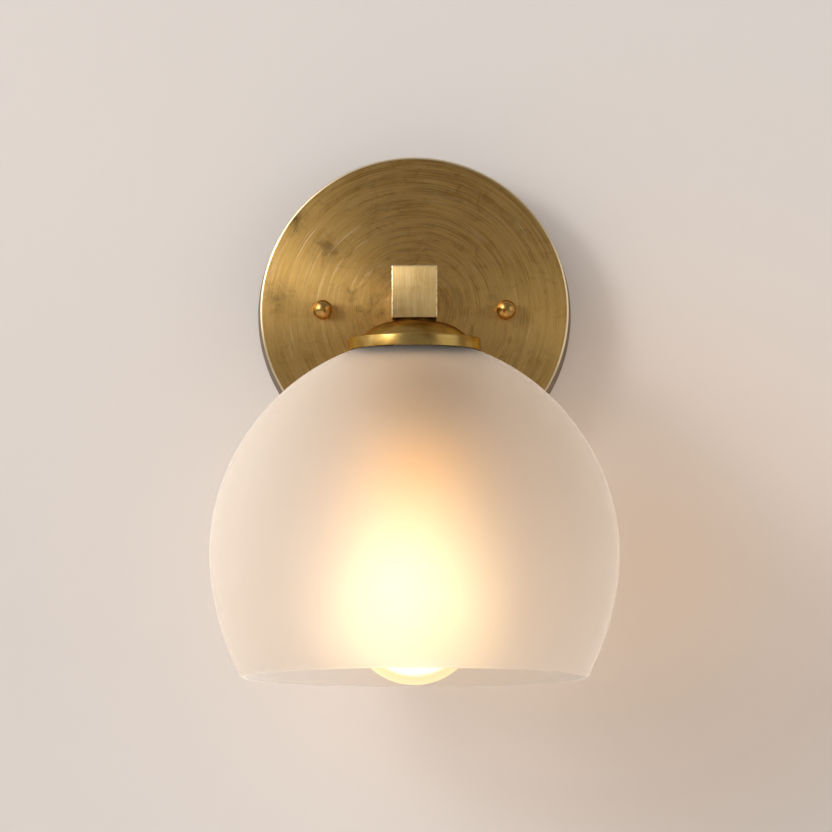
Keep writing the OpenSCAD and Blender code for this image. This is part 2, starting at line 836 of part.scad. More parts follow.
// The neutral contact: a rolled shell, its flange under the web, and a leg up to its terminal plate
module screw_shell() {
  shell_top = web_bottom;
  edge = 0.6;
  turns = floor((shell_top - contact_t - holder_bottom - 2 * edge) / base_pitch);
  wave_top = shell_top - contact_t - edge;
  inner = rolled_points(shell_r + base_thread_depth, base_thread_depth, base_pitch, turns, wave_top);
  outer = rolled_points(shell_outer_r, base_thread_depth, base_pitch, turns, wave_top);
  flange_in = 9;
  color([0.8, 0.72, 0.5])
    on_axis() {
      rotate_extrude()
        polygon(concat(
          [[flange_in, shell_top - contact_t], [flange_in, shell_top], [shell_outer_r, shell_top]],
          outer,
          reversed(inner),
          [[shell_r + base_thread_depth, shell_top - contact_t]]
        ));
      terminal_plate(-shell_leg_x - contact_t, -terminal_x + plate_reach, -terminal_x);
      translate([-shell_leg_x - contact_t, -leg_w / 2, web_bottom - contact_t])
        cube([contact_t, leg_w, web_t + 2 * contact_t]);
    }
}

// The live contact: a plate under its screw, a leg through the web and a tongue over the bulb's tip
module centre_contact() {
  tongue_l = 6;
  button_r = 2;
  color([0.8, 0.72, 0.5])
    on_axis() {
      terminal_plate(contact_leg_x, terminal_x + plate_reach, terminal_x);
      translate([contact_leg_x, -leg_w / 2, web_bottom - contact_t])
        cube([contact_t, leg_w, web_t + 2 * contact_t]);
      translate([contact_leg_x + contact_t - tongue_l, -leg_w / 2, web_bottom - contact_t])
        cube([tongue_l, leg_w, contact_t]);
      translate([contact_leg_x + contact_t - tongue_l, -leg_w / 2, web_bottom - 2 * contact_t])
        cube([contact_t, leg_w, 2 * contact_t]);
      translate([0, 0, tip_top + loose_gap]) cylinder(r = button_r, h = button_h + fine);
    }
}

module terminal_screws() {
  slot_cut = 0.7;
  shank_end = web_bottom + contact_t;
  color([0.75, 0.62, 0.3])
    on_axis()
      for (side = [-1, 1])
        translate([side * terminal_x, 0, 0])
          difference() {
            union() {
              translate([0, 0, shank_end])
                cylinder(r = screw_shank_r, h = screw_head_bottom - shank_end + fine, $fn = 32);
              translate([0, 0, screw_head_bottom]) cylinder(r = screw_head_r, h = screw_head_t, $fn = 32);
            }
            translate([-screw_head_r - cut, -slot_cut / 2, screw_head_bottom + screw_head_t / 2])
              cube([2 * (screw_head_r + cut), slot_cut, screw_head_t]);
          }
}

// --- Bulb ---

module bulb_tip_contact() {
  color(steel)
    on_axis()
      rotate_extrude()
        polygon([
          [0, tip_top], [tip_r * 0.5, tip_top - 0.1], [tip_r * 0.85, tip_top - 0.4],
          [tip_r, tip_top - tip_h], [0, tip_top - tip_h]
        ]);
}

module bulb_insulator() {
  foot_r = base_r - base_thread_depth - base_wall - fixed_gap;
  foot_h = 1;
  lip = 0.4;
  color(phenolic)
    on_axis()
      rotate_extrude()
        polygon([
          [0, tip_top - tip_h], [tip_r + lip, tip_top - tip_h], [tip_r + lip, tip_top - tip_h - lip],
          [foot_r, thread_top], [foot_r, thread_top - foot_h], [0, thread_top - foot_h]
        ]);
}

module bulb_base() {
  edge = 0.6;
  slope = 1;
  outer = rolled_points(base_r, base_thread_depth, base_pitch, base_turns, thread_top - edge);
  inner = rolled_points(base_r - base_wall, base_thread_depth, base_pitch, base_turns, thread_top - edge);
  root_r = base_r - base_thread_depth;
  color([0.82, 0.8, 0.76])
    on_axis()
      rotate_extrude()
        polygon(concat(
          [[root_r - base_wall, thread_top], [root_r, thread_top]],
          outer,
          [[base_r, skirt_top + slope], [skirt_r, skirt_top], [skirt_r, skirt_top - skirt_h]],
          [[skirt_r - base_wall, skirt_top - skirt_h], [skirt_r - base_wall, skirt_top]],
          [[base_r - base_wall, skirt_top + slope - base_wall]],
          reversed(inner)
        ));
}

// The bulb's outer outline, from the neck to the end: a straight neck, a smooth cone and a ball
ball_z = bulb_bottom + bulb_r;
ball_angle = 25;
join_r = bulb_r * cos(ball_angle);
join_z = ball_z + bulb_r * sin(ball_angle);
cone_h = neck_end - join_z;
cone_steps = 12;
neck_start = skirt_top - skirt_drop / 2;

// Radius of the cone at share s of its height, level at the neck and in line with the ball
function cone_radius(s) =
  bulb_neck_r * (2 * pow(s, 3) - 3 * pow(s, 2) + 1)
  + join_r * (3 * pow(s, 2) - 2 * pow(s, 3))
  + cone_h * tan(ball_angle) * (pow(s, 3) - pow(s, 2));

// The outline at depth t inside the glass
function bulb_outline(t) = concat(
  [[bulb_neck_r - t, neck_start]],
  [for (i = [0 : cone_steps]) [cone_radius(i / cone_steps) - t, neck_end - cone_h * i / cone_steps]],
  rest_of(reversed(arc([0, ball_z], bulb_r - t, -90, ball_angle - 3, 14)))
);

module bulb_glass() {
  color([1, 0.95, 0.82])
    on_axis() rotate_extrude($fn = 96) polygon(concat(bulb_outline(0), reversed(bulb_outline(bulb_wall))));
}

stem_r = 3.2;
stem_foot_r = bulb_neck_r - bulb_wall - loose_gap;
stem_past_wheel = 2;
stem_end = stick_top - stem_past_wheel;
stem_foot_h = 1;
stem_flare = [2, 4, 8];

module bulb_stem() {
  color([0.85, 0.9, 0.92])
    on_axis()
      rotate_extrude()
        polygon([
          [0, stem_top], [stem_foot_r, stem_top], [stem_foot_r, stem_top - stem_foot_h],
          [stem_r + stem_flare[0], stem_top - stem_flare[1]], [stem_r, stem_top - stem_flare[2]],
          [stem_r, stem_end], [0, stem_end]
        ]);
}

// Light sticks round the stem, held by a wheel of wire at each end
module bulb_filaments() {
  wheel_r = stem_r + 1;
  spoke_end = stick_ring_r + wheel_t / 2;
  bite = 0.5;
  top_z = stick_top - wheel_t;
  low_z = top_z - stick_l;
  color([1, 0.8, 0.3])
    on_axis() {
      tube(wheel_r, stem_r + fixed_gap, top_z, top_z + wheel_t);
      translate([0, 0, low_z - wheel_t]) cylinder(r = wheel_r, h = wheel_t);
      for (i = [0 : stick_count - 1])
        rotate(i * 360 / stick_count + 45) {
          for (z = [top_z, low_z - wheel_t])
            translate([wheel_r - bite, -wheel_t / 2, z])
              cube([spoke_end - wheel_r + bite, wheel_t, wheel_t]);
          translate([stick_ring_r, 0, low_z - fine])
            cylinder(d = stick_d, h = stick_l + 2 * fine, $fn = 24);
        }
    }
}

// --- Leads ---

// A smoother line through the middle of a route's corners, with the same ends
function cut_corners(p) = concat(
  [p[0]],
  [
    for (i = [0 : len(p) - 2])
      each [
        if (i > 0) p[i] * 0.75 + p[i + 1] * 0.25,
        if (i < len(p) - 2) p[i] * 0.25 + p[i + 1] * 0.75
      ]
  ],
  [p[len(p) - 1]]
);

function unit(v) = v / norm(v);

// The direction of a line of points at point i
function heading(p, i) =
  i == 0 ? unit(p[1] - p[0])
  : i == len(p) - 1 ? unit(p[i] - p[i - 1])
  : unit(unit(p[i + 1] - p[i]) + unit(p[i] - p[i - 1]));

// For each point, a direction square to the line that turns as little as it can
function sides(p, side, i = 0) =
  let (h = heading(p, i), s = unit(side - h * (side * h)))
  i == len(p) - 1 ? [s] : concat([s], sides(p, s, i + 1));

// A round lead along a line of points
module lead(p, side) {
  count = 8;
  s = sides(p, side);
  points = [
    for (i = [0 : len(p) - 1], k = [0 : count - 1])
      let (across = cross(heading(p, i), s[i]), a = k * 360 / count)
      p[i] + lead_r * (s[i] * cos(a) + across * sin(a))
  ];
  walls = [
    for (i = [0 : len(p) - 2], k = [0 : count - 1])
      let (a = i * count + k, b = i * count + (k + 1) % count)
      each [[a, a + count, b], [b, a + count, b + count]]
  ];
  last = (len(p) - 1) * count;
  ends = [for (k = [1 : count - 2]) each [[0, k, k + 1], [last, last + k + 1, last + k]]];
  polyhedron(points, concat(walls, ends));
}

lead_straight = 6;
lead_inside = 3;
lead_past_screw = -reach - screw_shank_r - lead_r - loose_gap;
arm_run_z = 0.8;

// A lead from its terminal, up the socket's tube, along the arm and up to its connector
function lead_route(side, up_x) = [
  [side * (terminal_x + 1.5), lead_past_screw, lead_rest_z],
  [side * (terminal_x - 2.5), lead_past_screw, lead_rest_z],
  [side * lead_x, -reach, nipple_bottom - 1.5],
  [side * lead_x, -reach, nipple_bottom + 4],
  [side * lead_x, -reach, -4.5],
  [side * lead_x, -reach + 1.2, 0],
  [side * lead_x, -reach + 7, arm_run_z],
  [side * lead_x, -reach / 2 - canopy_depth / 2, arm_run_z],
  [side * lead_x, -nipple_back - 4, arm_run_z],
  [side * lead_x, -nipple_back + 2, arm_run_z],
  [side * lead_x, -nipple_back + 5, 3],
  [side * lead_x, -nipple_back + 5, bar_w / 2 + 2],
  [up_x, connector_y, connector_z - lead_straight],
  [up_x, connector_y, connector_z + lead_inside]
];

function smooth(p) = cut_corners(cut_corners(p));

module hot_lead() color([0.08, 0.08, 0.08]) lead(smooth(lead_route(1, connector_x[1])), [0, 1, 0]);

module neutral_lead() color([0.9, 0.9, 0.88]) lead(smooth(lead_route(-1, connector_x[0])), [0, 1, 0]);

module ground_lead() {
  lift = earth_shank_r + lead_r + lead_press_gap;
  color([0.1, 0.5, 0.22])
    lead(
      smooth([
        [earth_x - 3, -bar_t - earth_lead_room / 2, lift],
        [earth_x + 2, -bar_t - earth_lead_room / 2, lift],
        [earth_x + 6, -bar_t - earth_lead_room / 2 - 0.5, lift + 3],
        [connector_x[2] + 3, connector_y + 2, connector_z - 10],
        [connector_x[2], connector_y, connector_z - lead_straight],
        [connector_x[2], connector_y, connector_z + lead_inside]
      ]),
      [0, 1, 0]
    );
}

module wire_connectors() {
  mouth_r = connector_d / 2;
  skirt = 1.5;
  step = [0.6, 1];
  end_r = mouth_r * 0.72;
  end_edge = [0.8, 1];
  bore_share = 0.6;
  color([0.85, 0.45, 0.1])
    for (x = connector_x)
      translate([x, connector_y, connector_z])
        difference() {
          rotate_extrude($fn = 32)
            polygon([
              [0, 0], [mouth_r, 0], [mouth_r, skirt], [mouth_r - step[0], skirt + step[1]],
              [end_r, connector_l - end_edge[1]], [end_r - end_edge[0], connector_l], [0, connector_l]
            ]);
          translate([0, 0, -cut]) cylinder(r = lead_r + loose_gap, h = connector_l * bore_share);
        }
}

canopy();
crossbar();
mounting_studs();
ground_screw();
knob_left();
knob_right();
knob_washer_left();
knob_washer_right();
canopy_nipple();
lock_washer();
canopy_nut();
arm_tube();
arm_plug();
elbow_block();
arm_set_screw();
neck_collar();
shade_cap();
socket_nipple();
socket_nut();
socket_hood();
socket_body();
screw_shell();
centre_contact();
terminal_screws();
hot_lead();
neutral_lead();
ground_lead();
wire_connectors();
upper_gasket();
lower_gasket();
shade_ring();
shade_glass();
bulb_glass();
bulb_stem();
bulb_filaments();
bulb_base();
bulb_insulator();
bulb_tip_contact();
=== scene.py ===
"""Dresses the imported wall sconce: finishes, rounded edges, threads, frosted glass and the lit bulb.

Everything stands in the frame of the construction: X to the right, Y into the wall, Z up, with the
origin on the wall at the middle of the canopy. Shapes are given in millimetres and made in metres.
"""

import math

import bmesh
import bpy
from bpy.props import FloatProperty, FloatVectorProperty, IntProperty, PointerProperty
from bpy.types import NodeSocket, Operator, Panel, PropertyGroup
from mathutils import Matrix, Vector


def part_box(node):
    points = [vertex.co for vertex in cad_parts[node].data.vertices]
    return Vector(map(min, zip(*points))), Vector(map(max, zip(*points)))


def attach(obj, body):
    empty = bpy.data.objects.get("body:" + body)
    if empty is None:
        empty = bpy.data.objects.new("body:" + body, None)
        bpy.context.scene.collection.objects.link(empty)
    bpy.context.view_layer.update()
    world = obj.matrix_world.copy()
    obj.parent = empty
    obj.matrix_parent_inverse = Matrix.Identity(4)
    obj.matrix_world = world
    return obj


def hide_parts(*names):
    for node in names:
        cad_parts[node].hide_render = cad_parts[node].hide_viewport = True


bl_info = {
    "name": "Wall Sconce Dressing",
    "version": (1, 0, 0),
    "blender": (4, 5, 0),
    "location": "3D View > Sidebar > Sconce",
    "description": "Gives a brass wall sconce with a frosted glass shade its finishes",
    "category": "Object",
}

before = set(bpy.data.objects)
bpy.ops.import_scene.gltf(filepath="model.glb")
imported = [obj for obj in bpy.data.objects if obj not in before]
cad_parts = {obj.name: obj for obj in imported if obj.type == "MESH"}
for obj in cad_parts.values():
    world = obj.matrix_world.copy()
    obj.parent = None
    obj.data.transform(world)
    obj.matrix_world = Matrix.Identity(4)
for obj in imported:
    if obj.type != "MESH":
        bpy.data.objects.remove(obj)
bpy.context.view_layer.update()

MM = 0.001
FULL_TURN = 2 * math.pi
MERGE = 2e-6
CUT = 1.0  # How far a cutting shape stands out of what it cuts
FIT = 0.05  # Between a thread and its bore
CLEAR = 0.15  # Between a tube and the hole that it passes
ROOT = "fixture"
WHITE = (1.0, 1.0, 1.0, 1.0)
STEEL_WORN = (0.40, 0.41, 0.40, 1.0)


def corners(node):
    """The lowest and the highest corner of a construction node, in millimetres."""
    low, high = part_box(node)
    return low / MM, high / MM


def centre(node):
    """The middle of a construction node's box, in millimetres."""
    low, high = corners(node)
    return (low + high) / 2


REACH = -centre("shade_glass").y
CANOPY_DEPTH = -corners("canopy")[0].y
CANOPY_R = (corners("canopy")[1] - corners("canopy")[0]).z / 2
BULB_BOTTOM = corners("bulb_glass")[0].z
HOLDER_TOP = corners("socket_body")[1].z
TUBE_R = corners("socket_nipple")[1].x

# Height on the wall's own axis runs out of the wall; on the shade's axis it is the frame's Z
OUT_OF_WALL = Matrix.Rotation(math.radians(90), 4, "X")
ON_AXIS = Matrix.Translation((0, -REACH * MM, 0))
SHADE_AXIS = Vector((0, -REACH, 0))


def on_axis(height):
    """A place on the shade's axis, in millimetres."""
    return SHADE_AXIS + Vector((0, 0, height))


# --- Sizes and colours that a user may change ---


def length(name, description, millimetres):
    """A length property whose default is given in millimetres."""
    return FloatProperty(
        name=name,
        description=description,
        default=millimetres * MM,
        min=0,
        max=0.5,
        unit="LENGTH",
        subtype="DISTANCE",
        precision=5,
    )


def number(name, description, default, **more):
    """A plain number."""
    return FloatProperty(name=name, description=description, default=default, **more)


def colour(name, description, *rgb):
    """A colour property."""
    return FloatVectorProperty(
        name=name, description=description, default=rgb, min=0, max=1, size=3, subtype="COLOR"
    )


class SconceSizes(PropertyGroup):
    """Walls, edges and threads of the pieces that the dressing makes."""

    canopy_wall: length("Canopy wall", "Thickness of the canopy's sheet", 1.2)
    canopy_flare: length("Canopy flare", "How much the face's radius is less than the back's", 1.1)
    canopy_edge: length("Canopy edge", "Rounding of the canopy's front edge", 0.9)
    knob_ball: length("Knob ball", "Radius of the knobs' balls", 3.65)
    block_edge: length("Block edge", "Rounding of the edges of the block and the arm", 0.45)
    arm_wall: length("Arm wall", "Thickness of the arm's wall", 2)
    cap_wall: length("Cap wall", "Thickness of the cap's sheet", 1.2)
    cap_edge: length("Cap edge", "Rounding of the upper edge of the cap's ring", 0.6)
    glass_wall: length("Glass wall", "Thickness of the shade's glass", 2.8)
    glass_upper: length("Glass upper curve", "Full height of the curve over the widest place", 79.6)
    glass_lower: length("Glass lower curve", "Full height of the curve below the same place", 92.9)
    glass_below: length("Glass below", "Height of the shade under its widest place", 46.5)
    glass_rim: length("Glass rim", "Height of the rounded edge at the mouth", 1.5)
    bulb_wall: length("Bulb wall", "Thickness of the bulb's glass", 0.8)
    stud_pitch: length("Stud pitch", "Pitch of the studs' thread", 0.8)
    holder_pitch: length("Holder pitch", "Pitch of the lamp holder's outer thread", 2.5)
    base_pitch: length("Base pitch", "Pitch of the bulb's thread", 3.63)
    glass_upper_n: number("Upper roundness", "Of the glass; 2 is an ellipse", 1.93)
    glass_lower_n: number("Lower roundness", "Of the glass; 2 is an ellipse", 1.88)
    segments: IntProperty(
        name="Segments", description="Facets round the large turned pieces", default=192, min=48
    )


class SconceColours(PropertyGroup):
    """Colours of the finishes."""

    brass: colour("Brass", "Brushed brass where it is bright", 0.66, 0.40, 0.12)
    brass_aged: colour("Aged brass", "Brushed brass where it has darkened", 0.36, 0.19, 0.032)
    brass_block: colour("Block brass", "Brushed brass of the block and the arm", 0.72, 0.50, 0.21)
    # The colour of the tarnish smudges, and of painted shade: the canopy's side wall, its painted
    # shadows, the cap's dome and the neck collar
    patina_and_shade: colour("Patina", "Dark smudges on the canopy", 0.13, 0.075, 0.02)
    brass_worn: colour("Worn brass", "Edges that are rubbed bright", 0.88, 0.72, 0.45)
    # Aged brass in the cap's clouds, and the painted shade of the neck collar
    brass_cap_aged_and_shaded: colour("Cap brass, aged", "Aged brass of the cap", 0.26, 0.13, 0.02)
    brass_cap: colour("Cap brass", "Brushed brass of the cap", 0.46, 0.30, 0.09)
    brass_knob: colour("Knob brass", "Polished brass of the knobs", 0.52, 0.31, 0.085)
    brass_plain: colour("Plain brass", "Turned brass behind the canopy", 0.62, 0.47, 0.22)
    zinc: colour("Zinc", "Zinc plated steel", 0.56, 0.57, 0.56)
    glass: colour("Shade glass", "Frosted glass", 1.0, 0.985, 0.97)
    glass_depth: colour("Glass depth", "Light scattered in the glass", 1.0, 0.95, 0.88)
    bulb_core: colour("Bulb core", "Light of the bulb's round end", 1.0, 0.65, 0.31)
    bulb_tip: colour("Bulb tip", "Light of the bulb's tip, near the sticks", 1.0, 0.84, 0.66)
    bulb_rim: colour("Bulb rim", "The clear rim of the bulb's glass", 1.0, 0.70, 0.36)
    bulb_neck: colour("Bulb neck", "Light of the bulb's neck", 1.0, 0.40, 0.02)
    phenolic: colour("Phenolic", "Moulded light brown plastic", 0.50, 0.31, 0.14)
    vitrite: colour("Vitrite", "Dark glass in the bulb base", 0.03, 0.022, 0.018)
    rubber: colour("Rubber", "Gaskets", 0.03, 0.03, 0.03)
    connector: colour("Connectors", "Twist-on connectors", 0.72, 0.20, 0.025)
    # The colour of the warm glow painted on the wall
    wall_glow: colour("Wall glow", "Warm light on the wall beside the shade", 1.0, 0.55, 0.22)
    wall: colour("Wall", "Plain wall of the stage", 0.71, 0.655, 0.615)


class SconceStage(PropertyGroup):
    """Camera, lamps and the brightness of what glows."""

    camera_distance: number("Camera distance", "From the shade's axis", 3.05, unit="LENGTH")
    camera_pitch: number(
        "Camera pitch", "How far the camera looks up", math.radians(5.05), subtype="ANGLE"
    )
    lens: number("Lens", "Focal length in mm", 354.8, min=20)
    broad_power: number("Broad lamp", "Power in watts", 58, min=0)
    key_power: number("Key lamp", "Power in watts", 20, min=0)
    fill_power: number("Fill lamp", "Power in watts", 8, min=0)
    ambient: number("Ambient", "Brightness of the surroundings", 0.3, min=0)
    glow: number("Glow", "Brightness of the bulb's glass", 1.62, min=0)


def in_mm(name):
    """A size in use, in millimetres."""
    return getattr(bpy.context.scene.sconce_sizes, name) / MM


def chosen(name):
    """A colour in use, with full alpha."""
    return (*getattr(bpy.context.scene.sconce_colours, name), 1.0)


def shaded(tint, by, lift=0.0):
    """A colour made darker or lighter by a factor and a lift, with full alpha."""
    return (*(min(1.0, part * by + lift) for part in tint[:3]), 1.0)


# --- Outlines and meshes ---


def linked(name, data):
    """A new object of some data, in the scene."""
    made = bpy.data.objects.new(name, data)
    bpy.context.scene.collection.objects.link(made)
    return made


def mesh_of(bm, name):
    """Turns a mesh in the making into a finished one."""
    mesh = bpy.data.meshes.new(name)
    bm.to_mesh(mesh)
    bm.free()
    return mesh


def evaluated(made):
    """The mesh of an object after its modifiers or its bevel, to go on with."""
    bpy.context.view_layer.update()
    graph = bpy.context.evaluated_depsgraph_get()
    mesh = bpy.data.meshes.new_from_object(made.evaluated_get(graph))
    bm = bmesh.new()
    bm.from_mesh(mesh)
    bpy.data.meshes.remove(mesh)
    return bm


def rounded(bm, geom, radius, affect, steps):
    """Rounds corners or edges by a radius in millimetres."""
    bmesh.ops.bevel(
        bm,
        geom=geom,
        offset=radius * MM,
        offset_type="OFFSET",
        affect=affect,
        segments=steps,
        profile=0.5,
        material=-1,
    )


def outline(*points, closed=True):
    """A wire of (radius, height) points. A third number on a point rounds it."""
    bm = bmesh.new()
    verts = [bm.verts.new((point[0] * MM, 0, point[1] * MM)) for point in points]
    for pair in zip(verts, verts[1:]):
        bm.edges.new(pair)
    if closed:
        bm.edges.new((verts[-1], verts[0]))
    for vert, point in zip(verts, points):
        if len(point) > 2:
            rounded(bm, [vert], point[2], "VERTICES", 4)
    return bm


def lathe(bm, segments=64):
    """Spins a wire round the height axis. Ends on the axis close by themselves."""
    bmesh.ops.spin(
        bm,
        geom=bm.verts[:] + bm.edges[:],
        cent=(0, 0, 0),
        axis=(0, 0, 1),
        angle=FULL_TURN,
        steps=segments,
        use_merge=True,
    )
    return tidied(bm)


def tidied(bm):
    """Merges doubles, drops what hangs loose and turns the faces outwards."""
    bmesh.ops.remove_doubles(bm, verts=bm.verts, dist=MERGE)
    bmesh.ops.delete(bm, geom=[e for e in bm.edges if not e.link_faces], context="EDGES")
    bmesh.ops.delete(bm, geom=[v for v in bm.verts if not v.link_edges], context="VERTS")
    bmesh.ops.recalc_face_normals(bm, faces=bm.faces)
    return bm


def arc(middle, radius, start, end, steps):
    """Points on an arc between two angles in degrees, both ends included."""
    angles = [math.radians(start + (end - start) * i / steps) for i in range(steps + 1)]
    return [(middle[0] + radius * math.cos(a), middle[1] + radius * math.sin(a)) for a in angles]


def wall_of(radius, high, low, step):
    """Points down a straight wall, close enough together to carry a thread."""
    count = max(1, math.ceil((high - low) / step))
    return [(radius, high + (low - high) * i / count) for i in range(count + 1)]


def cuboid(low, high, edge=0.0):
    """A box between two corners, with rounded edges."""
    low, high = Vector(low) * MM, Vector(high) * MM
    bm = bmesh.new()
    bmesh.ops.create_cube(bm, size=1)
    bmesh.ops.scale(bm, vec=high - low, verts=bm.verts)
    bmesh.ops.translate(bm, vec=(low + high) / 2, verts=bm.verts)
    if edge:
        rounded(bm, bm.edges[:], edge, "EDGES", 3)
    return tidied(bm)


def rod(radius, low, high, segments=48):
    """A cylinder along the height axis between two heights."""
    bm = bmesh.new()
    bmesh.ops.create_cone(
        bm,
        cap_ends=True,
        segments=segments,
        radius1=radius * MM,
        radius2=radius * MM,
        depth=(high - low) * MM,
    )
    bmesh.ops.translate(bm, vec=(0, 0, (low + high) / 2 * MM), verts=bm.verts)
    return bm


def placed(bm, matrix):
    """The mesh, moved by a matrix."""
    bmesh.ops.transform(bm, matrix=matrix, verts=bm.verts)
    return bm


def shifted(bm, x=0.0, y=0.0, z=0.0):
    """The mesh, moved by millimetres."""
    bmesh.ops.translate(bm, vec=Vector((x, y, z)) * MM, verts=bm.verts)
    return bm


def gathered(*meshes):
    """Several meshes side by side in one."""
    whole = bmesh.new()
    for bm in meshes:
        part = mesh_of(bm, "part")
        whole.from_mesh(part)
        bpy.data.meshes.remove(part)
    return whole


def worked(bm, others, operation="DIFFERENCE"):
    """The mesh with others cut out of it, or joined to it, as one solid."""
    target, *helpers = [linked("shape", mesh_of(shape, "shape")) for shape in (bm, *others)]
    for helper in helpers:
        step = target.modifiers.new("step", "BOOLEAN")
        step.operation = operation
        step.solver = "EXACT"
        step.object = helper
    whole = evaluated(target)
    for made in (target, *helpers):
        mesh = made.data
        bpy.data.objects.remove(made)
        bpy.data.meshes.remove(mesh)
    if not whole.faces:
        raise RuntimeError("a cut left nothing of a piece")
    return whole


def walls_of(bm, low, high, inner, outer):
    """Each corner point between two heights and two radii, with its radius and its height."""
    for vert in bm.verts:
        radius, height = vert.co.xy.length / MM, vert.co.z / MM
        if low <= height <= high and inner <= radius <= outer:
            yield vert, radius, height


def wound(bm, pitch, depth, low, high, inner, outer):
    """Turns the walls between two heights and two radii into a right-handed thread.

    A crest stands at the wall's own radius and the root a depth inside it. A negative depth goes
    outwards, for the thread in a bore. The thread fades at both ends.
    """
    fade = pitch / 2
    for vert, radius, height in walls_of(bm, low, high, inner, outer):
        turn = height / pitch - math.atan2(vert.co.y, vert.co.x) / FULL_TURN
        fading = max(0.0, min(1.0, (height - low) / fade, (high - height) / fade))
        share = (1 - math.cos(FULL_TURN * turn)) / 2 * fading
        vert.co.xy *= (radius - depth * share) / radius
    return bm


def ribbed(bm, count, depth, low, high, inner, outer):
    """Raises ribs along the axis on the walls between two heights and two radii."""
    for vert, radius, _ in walls_of(bm, low, high, inner, outer):
        share = max(0.0, math.cos(count * math.atan2(vert.co.y, vert.co.x)))
        vert.co.xy *= (radius + depth * share) / radius
    return bm


def tube(points, radius):
    """A round lead along the smooth line that points pull, with closed ends."""
    curve = bpy.data.curves.new("run", "CURVE")
    curve.dimensions = "3D"
    curve.bevel_depth = radius * MM
    curve.bevel_resolution = 3
    curve.use_fill_caps = True
    curve.resolution_u = 8
    spline = curve.splines.new("NURBS")
    spline.points.add(len(points) - 1)
    for place, point in zip(spline.points, points):
        place.co = (*(Vector(point) * MM), 1)
    spline.order_u = 3
    spline.use_endpoint_u = True
    run = linked("run", curve)
    bm = evaluated(run)
    bpy.data.objects.remove(run)
    bpy.data.curves.remove(curve)
    return tidied(bm)


def piece(bm, node, body, slot, *materials, sharp=38):
    """Makes the finished object that stands for a construction node and rides on a body."""
    name = f"{node}_dressed"
    mesh = mesh_of(bm, name)
    if not mesh.polygons:
        raise RuntimeError(f"{name} has no faces")
    for polygon in mesh.polygons:
        polygon.use_smooth = True
    mesh.set_sharp_from_angle(angle=math.radians(sharp))
    for material in materials:
        mesh.materials.append(material)
    made = linked(name, mesh)
    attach(made, body)
    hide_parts(node)


def finish_nodes(material, *nodes):
    """Gives construction nodes that stay as they are a finish."""
    for name in nodes:
        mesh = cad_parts[name].data
        mesh.materials.clear()
        mesh.materials.append(material)


# --- Materials ---


